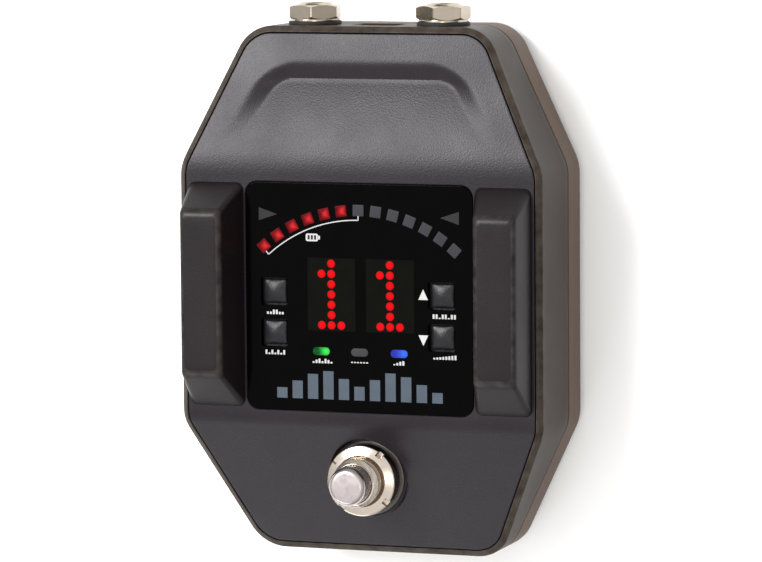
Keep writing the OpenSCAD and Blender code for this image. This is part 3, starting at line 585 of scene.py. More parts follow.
WHITE_INK = moulded("white_ink", srgb(172, 172, 172), rough=0.45, depth=GLOSS_GRAIN, specular=0.1)
GREY_INK = moulded("grey_ink", srgb(36, 36, 39), rough=0.45, depth=GLOSS_GRAIN, specular=0.1)
BLUE_GREY_INK = moulded("blue_grey_ink", srgb(66, 75, 84), rough=0.45, depth=GLOSS_GRAIN, specular=0.1)


# --- Camera ---

def make_camera():
    """Long lens above the display, turned to the right and a little to the rear, with a slight roll."""
    turn, tilt, roll = map(math.radians, (19.25, 6.11, -0.438))
    distance, slide_right, slide_up = 1104.8, -5.50, -4.28
    target = np.array([0, WINDOW_Y, FACE_Z])
    back = np.array([math.sin(turn) * math.cos(tilt), math.sin(tilt), math.cos(turn) * math.cos(tilt)])
    right = np.array([math.cos(turn), 0, -math.sin(turn)])
    up = np.cross(back, right)
    right, up = (math.cos(roll) * right + math.sin(roll) * up, math.cos(roll) * up - math.sin(roll) * right)
    place = np.eye(4)
    place[:3, 0], place[:3, 1], place[:3, 2] = right, up, back
    place[:3, 3] = (target + distance * back - slide_right * right - slide_up * up) * MM
    lens = bpy.data.cameras.new("camera")
    lens.sensor_width = 36.0
    lens.lens = 212.6
    lens.clip_start, lens.clip_end = 0.05, 20.0
    camera = bpy.data.objects.new("camera", lens)
    camera.matrix_world = Matrix(place.tolist())
    bpy.context.scene.collection.objects.link(camera)
    bpy.context.scene.camera = camera


make_camera()


# --- Housing ---

def housing_shell():
    """Band round the plan: the wall's foot, the outer wall, the rim's bevel, the recess wall and the ledge
    that the cover stands on. Lower rings are level and upper rings follow the top face."""
    foot = soften([(WALL, 0.0), (0.0, 0.0), (0.0, 3.0)], 0.25)
    brow = soften([
        (0.0, BEVEL_H + 3), (0.0, BEVEL_H), (BEVEL_W, 0.0), (RIM - COVER_GAP, 0.0),
        (RIM - COVER_GAP, LEDGE_DROP), (LEDGE_W, LEDGE_DROP), (LEDGE_W, LEDGE_DROP + LEDGE_T),
        (WALL, LEDGE_DROP + LEDGE_T),
    ], 0.16)
    rings = [level_ring(inset, HOUSING_Z + rise) for inset, rise in foot]
    rings += [face_ring(inset, drop) for inset, drop in brow]
    shell = loft("housing_shell", rings, wrap=True)
    # The rim's bevel is marked for the lighter edge colour: partly worn paint, partly a painted highlight
    # along the rim.
    on_rim = (brow[:, 0] < RIM) * (brow[:, 1] < BEVEL_H + 0.3)
    edges = np.concatenate([np.zeros(len(foot)), on_rim])
    paint_attribute(shell, "edge", np.repeat(edges, len(plan(0))))
    wall_cut = []
    for side in (-1, 1):
        depth = np.array([REAR_Y - WALL - 2, REAR_Y + 2])
        rings = circle_rings([JACK_HOLE_R] * 2, depth, (0, 0), 64)
        wall_cut.append(loft("jack_hole", lie_along_y(rings, side * JACK_X, JACK_Z)))
    rings = []
    for grow, y in ((0, REAR_Y - WALL - 2), (0, REAR_Y - 0.4), (0.4, REAR_Y), (0.4, REAR_Y + 2)):
        half_w, half_h = POWER_HALF_W + grow, POWER_HALF_H + grow
        outline = rounded_rect(-half_w, half_w, JACK_Z - half_h, JACK_Z + half_h, 1.5 + grow)
        rings.append(np.column_stack([outline[:, 0], np.full(len(outline), y), outline[:, 1]]))
    wall_cut.append(loft("power_opening", rings))
    return finish(carve(shell, *wall_cut), HOUSING_PAINT, stands_for=["housing"])


housing_shell()


# --- Top cover ---

SCOOP_DEPTH = 1.6
SCOOP_FLOOR = ((22.3, WINDOW_Y + 53.4), (36.3, WINDOW_Y + 31.0))
SCOOP_WALL = 3.9
SCOOP_FADE = WINDOW_Y + 37.0


def scoop(x, y):
    """Depth of the scoop: greatest at its rear and fading out before the crease, with walls that rise over
    SCOOP_WALL outside a trapezoid floor whose rear corners are round."""
    (rear_w, rear_y), (front_w, front_y) = SCOOP_FLOOR
    slant = np.array([rear_w - front_w, rear_y - front_y])
    out = np.array([slant[1], -slant[0]]) / np.linalg.norm(slant)
    beyond_side = (np.abs(x) - front_w) * out[0] + (y - front_y) * out[1]
    beyond_rear = y - rear_y
    corner = 2.6
    a, b = beyond_side + corner, beyond_rear + corner
    reach = np.hypot(np.maximum(a, 0), np.maximum(b, 0)) + np.minimum(np.maximum(a, b), 0) - corner
    rise = reach / SCOOP_WALL
    wall = soft_ramp(rise, 0.16) - soft_ramp(rise - 1, 0.5)
    depth = SCOOP_DEPTH * np.clip((y - SCOOP_FADE) / (rear_y - SCOOP_FADE), 0, 1) ** 1.6
    return depth * np.clip(1 - wall, 0, 1)


def cover_shell():
    """Grid of rows across the plan and columns along it, at the top face's height less the scoop; a rounded
    edge and a skirt round it; and the same grid below. Window recess and footswitch well are carved out."""
    columns = np.linspace(-1, 1, 150)

    def grid(inset, drop, with_scoop):
        side = SIDE + inset * SIDE_IN
        x, y = side[:, :1] * columns, np.repeat(side[:, 1:], len(columns), 1)
        return np.stack([x, y, top_z(y) - drop - (scoop(x, y) if with_scoop else 0)], axis=-1)

    def edge_loop(array):
        return np.concatenate([array[0, :-1], array[:-1, -1], array[-1, :0:-1], array[:0:-1, 0]])

    rounding = soften([(RIM + 0.6, 0.0), (RIM, 0.0), (RIM, COVER_T)], 0.22)[1:]
    top, bottom = grid(RIM + 0.6, 0, True), grid(RIM, COVER_T, False)
    loops = [edge_loop(grid(inset, drop, False)) for inset, drop in rounding]
    size, loop_size = top[..., 0].size, len(loops[0])
    points = np.concatenate([top.reshape(-1, 3), *loops, bottom.reshape(-1, 3)])
    index = np.arange(size).reshape(top.shape[:2])
    rows = [edge_loop(index)] + [size + k * loop_size + np.arange(loop_size) for k in range(len(loops))]
    rows.append(edge_loop(index + size + len(loops) * loop_size))
    quads = np.stack([index[:-1, :-1], index[:-1, 1:], index[1:, 1:], index[1:, :-1]], -1).reshape(-1, 4)
    faces = quads.tolist() + (quads[:, ::-1] + size + len(loops) * loop_size).tolist()
    for above, below in zip(rows, rows[1:]):
        faces += np.stack([below, np.roll(below, -1), np.roll(above, -1), above], -1).tolist()
    shell = mesh_of("cover_shell", points, faces)

    lip = 1.4
    half_w, half_l = (WINDOW_HIGH - WINDOW_LOW)[:2] / 2
    recess = [
        (half_w - lip, half_l - lip, 1.0, FACE_Z - 8), (half_w - lip, half_l - lip, 1.0, WINDOW_LOW[2]),
        (half_w + 0.2, half_l + 0.2, 3.2, WINDOW_LOW[2]), (half_w + 0.2, half_l + 0.2, 3.2, FACE_Z - 0.18),
        (half_w + 0.44, half_l + 0.44, 3.44, FACE_Z + 0.06),
    ]
    window_cut = loft("window_recess", [
        at_height(rounded_rect(-w, w, WINDOW_Y - l, WINDOW_Y + l, r), z) for w, l, r, z in recess])
    well = loft("switch_well", circle_rings([PAD_R + SEAT_ROUND] * 2, [15.0, 50.0], (0, SWITCH_Y)))
    return finish(carve(shell, window_cut, well), COVER_PAINT, stands_for=["top_cover"], crease=24)


def footswitch_seat():
    """Rings about the switch: the cover's slope just outside the pad, a wall that climbs or drops to the
    pad's height with rounded foot and brow, the pad, the bushing's hole and the underside."""
    angle = np.linspace(0, 2 * math.pi, 96, endpoint=False)
    step = np.array([
        (SEAT_ROUND, 0.0), (0.45 * SEAT_ROUND, 0.012), (0.12 * SEAT_ROUND, 0.05), (0.0, 0.13), (0.0, 0.87),
        (-0.12 * SEAT_ROUND, 0.95), (-0.45 * SEAT_ROUND, 0.988), (-SEAT_ROUND, 1.0), (-2.0, 1.0),
    ])
    radius = PAD_R + step[:, :1] + 0 * angle
    slope = top_z(SWITCH_Y + (PAD_R + SEAT_ROUND) * np.sin(angle))
    z = slope + (PAD_Z - slope) * step[:, 1:]
    bore = BUSHING_HIGH[0] + 0.1
    inner = np.array([(bore, PAD_Z), (bore, PAD_Z - 6.7), (PAD_R, PAD_Z - 6.7)])
    radius = np.concatenate([radius, inner[:, :1] + 0 * angle, (PAD_R + SEAT_ROUND) + 0 * angle[None]])
    z = np.concatenate([z, inner[:, 1:] + 0 * angle, (slope - COVER_T)[None]])
    z[-2] = np.minimum(z[-2], slope - COVER_T - 0.2)
    z[-3] = z[-2]
    rings = circle_rings(radius, z, (0, SWITCH_Y))
    return finish(loft("footswitch_seat", rings, wrap=True), COVER_PAINT, crease=40)


cover_shell()
footswitch_seat()


# --- Antenna covers ---

GUARD_TOP = (32.7, 43.3, WINDOW_Y - 18.9, WINDOW_Y + 21.4)


def antenna_cover(side):
    """Rings of a round-cornered rectangle that shrinks evenly from the foot to the plateau; the brow between
    the slanted sides and the plateau is a parabola in height and inset."""
    foot = np.array([GUARD_LOW[0], GUARD_HIGH[0], GUARD_LOW[1], GUARD_HIGH[1]])
    height = GUARD_HIGH[2] - FACE_Z
    profile = soften([(-0.06, 0.0), (height, 0.0), (height, 3.4)], 1.7, steps=8)
    rings, edge = [], []
    for rise, inset in profile:
        share = max(rise, 0) / height
        x0, x1, y0, y1 = foot + share * (np.array(GUARD_TOP) - foot) + inset * np.array([1, -1, 1, -1])
        outline = rounded_rect(x0, x1, y0, y1, 1.8 - 0.6 * share, steps=10)
        rings.append(at_height(outline * [side, 1], FACE_Z + rise))
        # The brow is marked for the lighter edge colour: partly worn paint, partly a painted highlight on the
        # ridge.
        edge.append(np.full(len(outline), 1.0 if share > 0.9 and inset < 0.9 else 0.0))
    name = "left" if side < 0 else "right"
    cover = loft(f"antenna_cover_{name}_shell", rings)
    paint_attribute(cover, "edge", np.concatenate(edge))
    return finish(cover, GUARD_FINISH, stands_for=[f"antenna_cover_{name}"], crease=40)


for side in (-1, 1):
    antenna_cover(side)


# --- Display window, its lights and its printed marks ---

def middle_of(node):
    """Middle of a CAD node's box, seen from above."""
    low, high = box_mm(node)
    return (low[:2] + high[:2]) / 2


BUTTON_NAMES = ("left_rear", "left_front", "right_rear", "right_front")
BUTTONS = {name: middle_of(f"button_{name}") for name in BUTTON_NAMES}
DOT_PITCH = 2.54
DIGIT_Y = WINDOW_Y + 0.74
DIGIT_SHIFT = 0.48
METER_Y, METER_R, METER_STEP, METER_COUNT, METER_LIT = WINDOW_Y - 16, 37.65, 6.85, 13, 6
INK_T = 0.035
LABEL_PITCH, LABEL_BAR = 0.78, 0.5


def window_pane():
    """Slab with a round-cornered outline and eased edges, and a chamfered square hole for each button."""
    half_w, half_l = (WINDOW_HIGH - WINDOW_LOW)[:2] / 2
    z0, z1 = WINDOW_LOW[2], WINDOW_TOP
    profile = soften([(2.5, z0), (0, z0), (0, z1), (2.5, z1)], 0.14)
    pane = loft("window_pane", [
        at_height(rounded_rect(i - half_w, half_w - i, WINDOW_Y - half_l + i, WINDOW_Y + half_l - i,
                               max(3 - i, 0.4)), z) for i, z in profile])
    holes = []
    for x, y in BUTTONS.values():
        steps = [(3.4, z0 - 1), (3.4, z1 - 0.12), (3.62, z1 + 0.1)]
        holes.append(loft("button_hole", [
            at_height(rounded_rect(x - w, x + w, y - w, y + w, 0.5), z) for w, z in steps]))
    return finish(carve(pane, *holes), WINDOW_ACRYLIC, stands_for=["display_window"])


def raised(name, outlines, material, z=None, thickness=INK_T):
    """Thin upright prisms, one for each flat outline, joined in one piece."""
    z = WINDOW_TOP if z is None else z
    points, faces, first = [], [], 0
    for outline in outlines:
        outline = np.asarray(outline, float)
        count = len(outline)
        points += [at_height(outline, z - 0.02), at_height(outline, z + thickness)]
        faces += [[first + i for i in face] for face in loft_faces(2, count, False)]
        first += 2 * count
    return finish(mesh_of(name, np.concatenate(points), faces), material)


def lens_rings(outline, centre, hot=(0.0, 0.0), spread=1.0, height=0.05):
    """Rings that shrink an outline towards its centre with a low crown, and each point's glow: 1 at the hot
    spot, falling away as a bell curve of the distance from it."""
    shares = np.array([1.0, 1.0, 0.9, 0.75, 0.6, 0.45, 0.3, 0.15, 0.02])
    rise = np.array([-0.02, 0.3, 0.6, 0.75, 0.85, 0.92, 0.97, 1.0, 1.0]) * height
    flat = centre + shares[:, None, None] * (outline - centre)
    z = np.broadcast_to(WINDOW_TOP + rise[:, None], flat.shape[:2])
    glow = np.exp(-np.sum(((flat - centre) - np.array(hot)) ** 2, -1) / spread ** 2)
    return np.concatenate([flat, z[..., None]], -1), glow


def lenses(name, parts, material, stands_for=()):
    """Several small lights as one piece, with their glow stored on the points."""
    rings, glow = zip(*parts)
    count = rings[0].shape[1]
    per = rings[0].shape[0] * count
    faces = loft_faces(rings[0].shape[0], count, False)
    every = [[i + k * per for i in face] for k in range(len(rings)) for face in faces]
    piece = mesh_of(name, np.concatenate([r.reshape(-1, 3) for r in rings]), every)
    paint_attribute(piece, "glow", np.concatenate([g.ravel() for g in glow]))
    return finish(piece, material, stands_for=stands_for)


def circle(x, y, radius, count=20):
    """Flat circle about a point."""
    angle = np.linspace(0, 2 * math.pi, count, endpoint=False)
    return np.array([x, y]) + radius * np.stack([np.cos(angle), np.sin(angle)], 1)


def meter_outline(k):
    """Square of the k-th meter light, turned to face the meter's middle."""
    square = rounded_rect(-1.4, 1.4, METER_R - 1.4, METER_R + 1.4, 0.15, steps=4)
    turn = -math.radians(METER_STEP * (k - (METER_COUNT - 1) / 2))
    spin = np.array([[math.cos(turn), math.sin(turn)], [-math.sin(turn), math.cos(turn)]])
    return square @ spin + [0, METER_Y]


def arc_band(radius, width, first, last, count=40):
    """Band of a circle about the meter's middle between two meter places."""
    angle = np.radians(90 - METER_STEP * (np.linspace(first, last, count) - (METER_COUNT - 1) / 2))
    way = np.stack([np.cos(angle), np.sin(angle)], 1)
    middle = np.array([0, METER_Y])
    return np.concatenate([middle + (radius + width / 2) * way, (middle + (radius - width / 2) * way)[::-1]])


def meter_tick(k, inner, outer, width):
    """Short radial line at a meter place."""
    turn = math.radians(90 - METER_STEP * (k - (METER_COUNT - 1) / 2))
    along, across = np.array([math.cos(turn), math.sin(turn)]), np.array([-math.sin(turn), math.cos(turn)])
    corners = [(outer, -1), (outer, 1), (inner, 1), (inner, -1)]
    return [np.array([0, METER_Y]) + r * along + side * width / 2 * across for r, side in corners]


def bar(x, y, w, l):
    """Flat rectangle about a point."""
    return [(x - w / 2, y - l / 2), (x + w / 2, y - l / 2), (x + w / 2, y + l / 2), (x - w / 2, y + l / 2)]


def triangle(x, y, w, l):
    """Isosceles triangle about a point, whose tip points up for a positive height and down for a negative."""
    return [(x - w / 2, y - l / 2), (x + w / 2, y - l / 2), (x, y + l / 2)]


def side_triangle(x, y, w, l):
    """The same lying on its side: its tip points right for a positive width and left for a negative."""
    return [(x - w / 2, y - l / 2), (x + w / 2, y), (x - w / 2, y + l / 2)]


def bar_row(x, y, pitch, width, heights):
    """Row of bars about a point, one for each height, all standing on one line."""
    first = x - pitch * (len(heights) - 1) / 2
    foot = y - max(heights) / 2
    return [bar(first + pitch * i, foot + h / 2, width, h) for i, h in enumerate(heights)]


def printed_marks():
    """Generic marks on the pane: the low range's bracket and its battery, arrows, and bars where a unit of
    this kind has words."""
    line, bracket_r, battery_y = 0.26, 35.25, WINDOW_Y + 14.75
    low_range = (-0.1, 6.0)
    white = [arc_band(bracket_r, line, *low_range)]
    white += [meter_tick(k, bracket_r - 0.05, bracket_r + 1.05, line) for k in low_range]
    white += [rounded_rect(-13.7, -10.5, battery_y - 0.95, battery_y + 0.95, 0.45)]
    white += [bar(-10.3, battery_y, 0.6, 0.9)]
    white += [triangle(16.7, WINDOW_Y + 1.4, 2.5, 2.6), triangle(16.7, WINDOW_Y - 9.9, 2.5, -2.6)]
    labels = [
        (-21.9, -4.0, [0.6, 0.6, 1.1, 1.1, 0.6, 0.6]), (-22.0, -14.0, [1.1, 0.4, 1.1, 0.4, 1.1, 0.4, 1.1]),
        (22.1, -3.9, [1.1, 1.1, 0.3, 1.1, 1.1, 0.3, 1.1, 1.1]), (22.2, -13.9, np.linspace(0.4, 1.1, 8)),
        (-9.6, -15.8, [0.4, 0.8, 1.1, 0.5, 1.1, 0.8, 0.4]), (0.1, -15.9, [0.3] * 6),
        (10.3, -15.7, [0.3, 0.6, 0.9, 1.1]),
    ]
    for x, y, heights in labels:
        white += bar_row(x, WINDOW_Y + y, LABEL_PITCH, LABEL_BAR, heights)
    raised("white_marks", white, WHITE_INK)
    cells = [bar(-12.1 + 0.85 * i, battery_y, 0.55, 1.1) for i in (-1, 0, 1)]
    arrows = [side_triangle(s * 23.6, WINDOW_Y + 20.3, s * -4.8, 3.2) for s in (1, -1)]
    raised("grey_marks", arrows, GREY_INK)
    raised("battery_cells", cells, GREY_INK, thickness=INK_T + 0.02)
    heights = [2.6, 4.4, 6.2, 7.0, 5.2, 3.4, 5.2, 7.0, 6.2, 4.4, 2.6]
    raised("level_pattern", bar_row(0, WINDOW_Y - 21.8, 4.05, 2.7, heights), BLUE_GREY_INK)


def display():
    """Pane, matrix fields, lit dots of two ones, meter squares, status lights and generic marks."""
    window_pane()
    columns = [DIGIT_SHIFT + side * 3 * DOT_PITCH for side in (-1, 1)]
    fields = [rounded_rect(x - 6.2, x + 6.2, DIGIT_Y - 9.0, DIGIT_Y + 9.0, 0.3) for x in columns]
    raised("digit_fields", fields, DIGIT_FIELD, thickness=0.01)
    numeral = [(0, j) for j in range(7)] + [(-1, 5), (-1, 0), (1, 0)]
    for column, name in zip(columns, ("left", "right")):
        dots = []
        for i, j in numeral:
            x, y = column + i * DOT_PITCH, DIGIT_Y + (j - 3) * DOT_PITCH
            dots.append(lens_rings(circle(x, y, 1.03), np.array([x, y]), spread=1.1))
        lenses(f"digit_dots_{name}", dots, RED_LIGHT)
    lit, dark = [], []
    for k in range(METER_COUNT):
        outline = meter_outline(k)
        centre = outline.mean(0)
        (lit if k < METER_LIT else dark).append(lens_rings(outline, centre, hot=(0.45, 0.1), spread=0.95))
    lenses("meter_squares_lit", lit, RED_SQUARE)
    lenses("meter_squares_dark", dark, DARK_LIGHT)
    status = [("left", GREEN_LIGHT, "light_green", (1.3, 0.1)), ("middle", GREY_LIGHT, "light_grey", (0, 0)),
              ("right", BLUE_LIGHT, "light_blue", (1.3, 0.1))]
    for name, material, slot, hot in status:
        x, y = middle_of(f"status_light_{name}")
        pill = rounded_rect(x - 2.2, x + 2.2, y - 0.98, y + 0.98, 0.95, steps=5)
        lenses(f"status_pill_{name}", [lens_rings(pill, np.array([x, y]), hot, 1.25)], material)
    printed_marks()


display()


# --- Buttons ---

def button(name, x, y):
    """Rings from the stem's foot through the flange to a square cap whose top is a pillow:
    its sag is 1 - (1 - u^2)(1 - v^2), so all four edges lie at one height."""
    low, high = box_mm(f"button_{name}")
    half, sag = 3.0, 0.75
    flange_z = WINDOW_LOW[2] - 0.3
    steps = [(1.6, 1.59, low[2]), (1.6, 1.59, flange_z - 1), (4.0, 0.6, flange_z - 1), (4.0, 0.6, flange_z),
             (half, 0.6, flange_z), (half, 0.6, high[2] - sag - 0.35)]
    rings = [at_height(rounded_rect(x - w, x + w, y - w, y + w, r, along=9), z) for w, r, z in steps]
    shrink = [(0.985, 0.16), (0.94, 0.05)]
    shrink += [(w, 0) for w in (0.88, 0.78, 0.68, 0.58, 0.48, 0.38, 0.28, 0.18, 0.1, 0.02)]
    for w, drop in shrink:
        outline = rounded_rect(-half * w, half * w, -half * w, half * w, 0.6 * w, along=9)
        u, v = (outline / half).T
        z = high[2] - sag * (1 - (1 - u ** 2) * (1 - v ** 2)) - drop
        rings.append(at_height(outline + [x, y], z))
    return finish(loft(f"button_{name}_pillow", rings), BUTTON_RUBBER, body=f"button_{name}_cap",
                  stands_for=[f"button_{name}"], crease=50)


for name, (x, y) in BUTTONS.items():
    button(name, x, y)


# --- Footswitch ---

def footswitch_cap():
    """Turned cap: a narrow stem, a shoulder, a straight side and a barely crowned top with an eased edge."""
    radius, top = CAP_HIGH[0], CAP_HIGH[2]
    profile = soften([(0.3, CAP_LOW[2]), (2.2, CAP_LOW[2]), (2.2, 30.0), (radius, 30.0),
                      (radius, top - 0.95), (radius - 0.95, top - 0.05), (0.3, top)], 0.55, steps=6)
    return finish(turned("footswitch_cap_turned", profile, (0, SWITCH_Y)), NICKEL_SATIN,
                  body="footswitch_plunger", stands_for=["footswitch_cap"])


def thread(z, angle, pitch, depth):
    """Depth of a triangular screw thread, a helix of the given pitch."""
    phase = (z / pitch - angle / (2 * math.pi)) % 1.0
    return depth * np.abs(2 * phase - 1)


def footswitch_bushing():
    """Sleeve with a smooth side and a tapered end that carries the last turns of a fine thread."""
    outer, low, high = BUSHING_HIGH[0], BUSHING_LOW[2], BUSHING_HIGH[2]
    bore = CAP_HIGH[0] + 0.1
    angle = np.linspace(0, 2 * math.pi, 96, endpoint=False)
    z = np.concatenate([[low, high - 2.2], np.arange(high - 1.9, high - 0.2, 0.06)])[:, None]
    taper = 0.75 * soft_ramp(z - high + 1.6, 0.3) / 1.6
    threaded = outer - taper - thread(z, angle, 0.5, 0.24) * np.clip((z - high + 1.8) / 0.3, 0, 1)
    lip = soften([(outer - 0.85, high - 0.16), (outer - 0.95, high), (bore, high), (bore, low)], 0.08)
    radius = np.concatenate([threaded, lip[:, :1] + 0 * angle])
    heights = np.concatenate([z + 0 * angle, lip[:, 1:] + 0 * angle])
    rings = circle_rings(radius, heights, (0, SWITCH_Y))
    return finish(loft("footswitch_bushing_threaded", rings, wrap=True), NICKEL,
                  stands_for=["footswitch_bushing"])


def footswitch_nut():
    """Turned round nut whose top rises in a gentle cone to a ridge, with four round-bottomed slots."""
    radius, z0, z1 = NUT_HIGH[0], NUT_LOW[2], NUT_HIGH[2]
    bore = BUSHING_HIGH[0] + 0.02
    profile = soften([
        (bore, z1 - 0.5), (bore, z0), (radius - 0.1, z0), (radius, z0 + 0.2), (radius, z1 - 0.8),
        (radius - 0.25, z1 - 0.62), (6.7, z1 - 0.08), (6.45, z1), (bore + 0.12, z1 - 0.42),
    ], 0.12, steps=3)
    nut = turned("footswitch_ring_nut", profile, (0, SWITCH_Y), 128, wrap=True)
    slots, half_w, slot_depth = [], 0.9, 1.8
    for turn in np.radians([53, 143, 233, 323]):
        section = rounded_rect(-half_w, half_w, z1 - slot_depth, z1 + 3, 0.6)
        ends = [np.column_stack([np.full(len(section), r), section]) for r in (7.5, 10.5)]
        cos, sin = math.cos(turn), math.sin(turn)
        spin = np.array([[cos, sin, 0], [-sin, cos, 0], [0, 0, 1]])
        slots.append(loft("nut_slot", np.array(ends) @ spin + [0, SWITCH_Y, 0]))
    return finish(carve(nut, *slots), NICKEL, stands_for=["footswitch_nut"])


def footswitch_washer():
    """Flat ring with eased edges."""
    profile = ring_profile(BUSHING_HIGH[0] + 0.05, WASHER_HIGH[0], WASHER_LOW[2], WASHER_HIGH[2], 0.08)
    return finish(turned("footswitch_flat_washer", profile, (0, SWITCH_Y), wrap=True), BLACK_STEEL,
                  stands_for=["footswitch_washer"])


def footswitch_spring():
    """Coil of round wire: circles across a helix."""
    low, high = box_mm("footswitch_spring")
    wire_r = 0.35
    coil_r = (high[0] - low[0]) / 2 - wire_r
    t = np.linspace(0, 4.5 * 2 * math.pi, 200)[:, None]
    a = np.linspace(0, 2 * math.pi, 12, endpoint=False)[None]
    reach = coil_r + wire_r * np.cos(a)
    z = low[2] + wire_r + (high[2] - low[2] - 2 * wire_r) * t / t[-1] + wire_r * np.sin(a)
    rings = np.stack([reach * np.cos(t), SWITCH_Y + reach * np.sin(t), z], axis=-1)
    coil = finish(loft("footswitch_spring_coil", rings), SPRING_STEEL,
                  stands_for=["footswitch_spring"])
    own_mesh(coil)


footswitch_cap()
footswitch_spring()
footswitch_bushing()
footswitch_nut()
footswitch_washer()


# --- Jacks ---

def jack_hex_nut(name, x):
    """At each angle and depth the radius is the lesser of a hexagon's and two chamfer cones'."""
    y0, y1, corner = JACK_NUT_LOW[1], JACK_NUT_HIGH[1], JACK_NUT_CORNER
    angle = np.linspace(0, 2 * math.pi, 144, endpoint=False)
    facing = (angle + math.radians(JACK_NUT_TURN[name])) % (math.pi / 3) - math.pi / 6
    hexagon = corner * math.cos(math.pi / 6) / np.cos(facing)
    y = np.concatenate([[y0], y0 + np.linspace(0.02, y1 - y0 - 0.02, 40), [y1]])[:, None]
    cone = corner - 0.9 + 1.6 * np.minimum(y - y0, y1 - y) ** 0.9
    bore = SLEEVE_HIGH[0] - JACK_X + 0.05
    outer = np.minimum(hexagon, cone)
    inner = np.array([[bore + 0.35], [bore]]) + 0 * angle
    radius = np.concatenate([outer, inner, inner[::-1]])
    depth = np.concatenate([y, [[y1], [y1 - 0.35], [y0 + 0.35], [y0]]]) + 0 * angle
    rings = circle_rings(radius, depth, (0, 0), len(angle))
    return loft(f"jack_nut_{name}_hex", lie_along_y(rings, x, JACK_Z), wrap=True)


def jack_sleeve(name, x):
    """Threaded tube: helix outside, plain bore inside, eased mouth."""
    low, high = box_mm(f"jack_sleeve_{name}")
    outer, bore, flange = (high[0] - low[0]) / 2, JACK_BORE_R, JACK_FLANGE_R
    angle = np.linspace(0, 2 * math.pi, 96, endpoint=False)
    y = np.arange(REAR_Y - 3, high[1] - 0.9, 0.12)[:, None]
    threaded = outer - thread(y, angle, 0.8, 0.4)
    mouth = soften([(outer - 0.1, high[1] - 0.85), (outer - 0.8, high[1]), (bore + 0.35, high[1]),
                    (bore, high[1] - 0.35), (bore, low[1]), (flange, low[1]), (flange, REAR_Y - 3.1)],
                   0.08, steps=2)
    radius = np.concatenate([threaded, mouth[:, :1] + 0 * angle])
    depth = np.concatenate([y + 0 * angle, mouth[:, 1:] + 0 * angle])
    rings = circle_rings(radius, depth, (0, 0))
    return loft(f"jack_sleeve_{name}_threaded", lie_along_y(rings, x, JACK_Z), wrap=True)


def jack_ring(name, x, low, high):
    """Flat ring with eased edges that fills the given box's depth and width."""
    profile = ring_profile(4.8, high[0] - JACK_X, low[1], high[1], 0.14)
    rings = circle_rings(profile[:, :1], profile[:, 1], (0, 0))
    return loft(name, lie_along_y(rings, x, JACK_Z), wrap=True)


for name, x in (("left", -JACK_X), ("right", JACK_X)):
    finish(jack_sleeve(name, x), JACK_NICKEL[name], stands_for=[f"jack_sleeve_{name}"])
    first = name == "left"
    finish(jack_hex_nut(name, x), JACK_NICKEL[name], stands_for=["jack_nuts"] * first, crease=12)
    washer = jack_ring(f"jack_washer_{name}", x, JACK_WASHER_LOW, JACK_WASHER_HIGH)
    finish(washer, JACK_NICKEL[name], stands_for=["jack_washers"] * first)
    seal = jack_ring(f"jack_seal_{name}", x, JACK_SEAL_LOW, JACK_SEAL_HIGH)
    finish(seal, GASKET_RUBBER, stands_for=["jack_seals"] * first)


# --- Tray and feet ---

BASE_SCREWS = [(s * x, BODY_Y + y) for s in (-1, 1) for x, y in ((28.8, 55.5), (28.8, -56.5), (40.6, -0.5))]
FEET = [(s * 27, BODY_Y + y) for s in (-1, 1) for y in (-44, 44)]


def tray_shell():
    """Open dish round the plan: floor, rounded bottom edge, wall, and the inside back down to the floor."""
    z0, z1, turn = TRAY_LOW[2], TRAY_HIGH[2], np.radians(np.linspace(0, 90, 10))
    outside = [(8.0, z0)] + [(3 * (1 - math.sin(a)), z0 + 3 * (1 - math.cos(a))) for a in turn]
    wall = soften([outside[-1], (0.0, z1), (WALL, z1), (WALL, z0 + 2), (8.0, z0 + 2)], 0.25)
    rings = [level_ring(inset, z) for inset, z in [*outside, *wall[1:]]]
    tray = loft("tray_shell", rings)
    cuts = [loft("screw_recess", circle_rings([3.5, 3.2, 3.2], [z0 - 0.5, z0 + 0.3, z0 + 2.4], at, 48))
            for at in BASE_SCREWS]
    cuts += [loft("foot_recess", circle_rings([6.6, 6.6], [z0 - 1, z0 + 0.8], at, 64)) for at in FEET]
    return finish(carve(tray, *cuts), TRAY_PAINT, stands_for=["bottom_tray"])


def rubber_foot(name, at):
    """Turned foot: eased rim, a shallow dish and two grip grooves underneath."""
    radius, z0, z1 = 6.5, FOOT_LOW[2], FOOT_HIGH[2]
    groove = np.array([(0.4, 0.0), (0.2, 0.3), (-0.2, 0.3), (-0.4, 0.0)])
    profile = soften([
        (0.4, z1), (radius, z1), (radius, z0 + 0.5), (radius - 0.6, z0),
        *(groove + (4.6, z0)), *(groove + (2.8, z0)), (0.4, z0 + 0.15),
    ], 0.2)
    return finish(turned(f"rubber_foot_{name}", profile, at, 64), RUBBER,
                  stands_for=["rubber_feet"] if name == "a" else [])


tray_shell()
for name, at in zip("abcd", FEET):
    rubber_foot(name, at)


# --- Finishes of the CAD nodes that stay ---

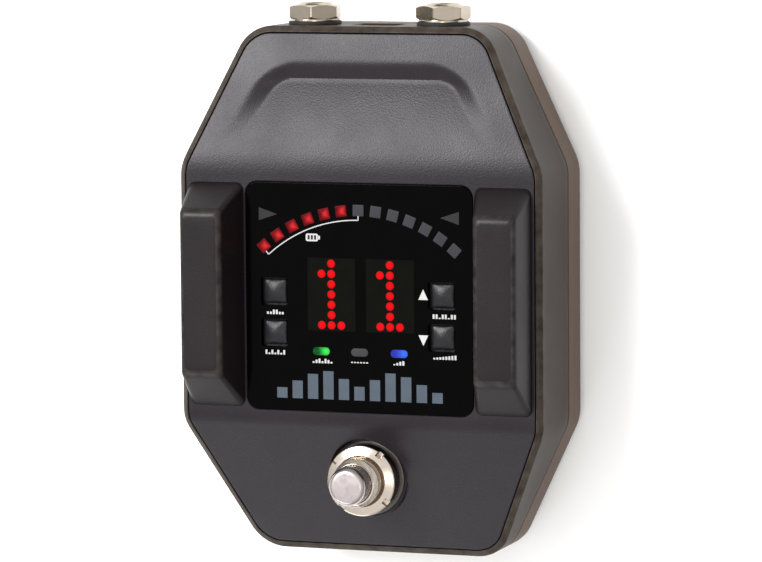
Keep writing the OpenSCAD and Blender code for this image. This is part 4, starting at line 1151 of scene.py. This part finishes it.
NODE_FINISH = {
    GASKET_RUBBER: ["cover_gasket", "base_gasket"],
    BOARD: ["antenna_board_left", "antenna_board_right", "display_board", "main_board"],
    CABLE_JACKET: ["antenna_cable_left", "antenna_cable_right"],
    BLACK_PLASTIC: ["light_shroud", "digit_left", "digit_right", "button_switches", "jack_body_left",
                    "jack_body_right", "power_socket", "processor_chip"],
    BLUE_PLASTIC: ["footswitch_body", "capacitors"],
    RED_SQUARE: ["meter_lights_lit"],
    DARK_LIGHT: ["meter_lights_dark"],
    GREEN_LIGHT: ["status_light_left"],
    GREY_LIGHT: ["status_light_middle"],
    BLUE_LIGHT: ["status_light_right"],
    STEEL: ["display_screws", "board_screws", "base_screws", "cover_screws", "antenna_cover_screws"],
    BRASS: ["footswitch_lugs", "jack_contacts", "power_socket_pin"],
    SHIELD_METAL: ["radio_shield"],
    RIBBON: ["ribbon_cable", "footswitch_cable"],
}
for material, names in NODE_FINISH.items():
    for name in names:
        paint_node(name, material)


# --- Floor and light ---

def make_floor():
    """Pale sheet under the pedal, gently uneven in tone."""
    mesh = bpy.data.meshes.new("floor")
    half = 3.0
    corners = [(-half, -half, 0), (half, -half, 0), (half, half, 0), (-half, half, 0)]
    mesh.from_pydata(corners, [], [(0, 1, 2, 3)])
    floor = bpy.data.objects.new("floor", mesh)
    bpy.context.scene.collection.objects.link(floor)
    material, tree, bsdf, coords = new_material("floor_card", Roughness=0.9, Specular_IOR_Level=0.1)
    grain_node = placed(tree, FINE_GRAIN, {"Vector": coords}, Mottle_Scale=6.0)
    darker, paler = (0.975, 0.975, 0.975, 1), (0.99, 0.99, 0.99, 1)
    tree.links.new(mix_colour(tree, grain_node.outputs["Mottle"], darker, paler), bsdf.inputs["Base Color"])
    mesh.materials.append(material)


def softbox(name, direction, distance, width, height, power, colour=(1, 1, 1)):
    """Rectangular light that faces the pedal from a direction."""
    light = bpy.data.lights.new(name, "AREA")
    light.shape, light.size, light.size_y = "RECTANGLE", width, height
    light.energy, light.color = power, colour
    lamp = bpy.data.objects.new(name, light)
    way = Vector(direction).normalized()
    lamp.location = way * distance
    lamp.rotation_euler = (-way).to_track_quat("-Z", "Y").to_euler()
    bpy.context.scene.collection.objects.link(lamp)


def make_lights():
    """Sky that fades towards the horizon, a softbox behind and one in front, and a small warm strip above."""
    world = bpy.data.worlds.new("studio")
    bpy.context.scene.world = world
    world.use_nodes = True
    tree = world.node_tree
    background = tree.nodes["Background"]
    background.inputs["Color"].default_value = (1, 1, 1, 1)
    way = node(tree, "ShaderNodeTexCoord").outputs["Generated"]
    height = node(tree, "ShaderNodeSeparateXYZ", {0: way}).outputs[2]
    tree.links.new(spread_value(tree, height, 0.12, 1.32, 0.05, 0.75), background.inputs["Strength"])
    softbox("rear_softbox", (-0.40, 0.35, 0.86), 1.5, 0.65, 0.3, 24)
    softbox("front_softbox", (-0.45, -0.80, 0.40), 1.4, 0.9, 0.4, 5)
    softbox("warm_strip", (0.24, -0.10, 0.96), 1.5, 0.2, 0.5, 1.6, colour=(1.0, 0.86, 0.68))
    bpy.context.scene.view_settings.view_transform = "Standard"


make_floor()
make_lights()
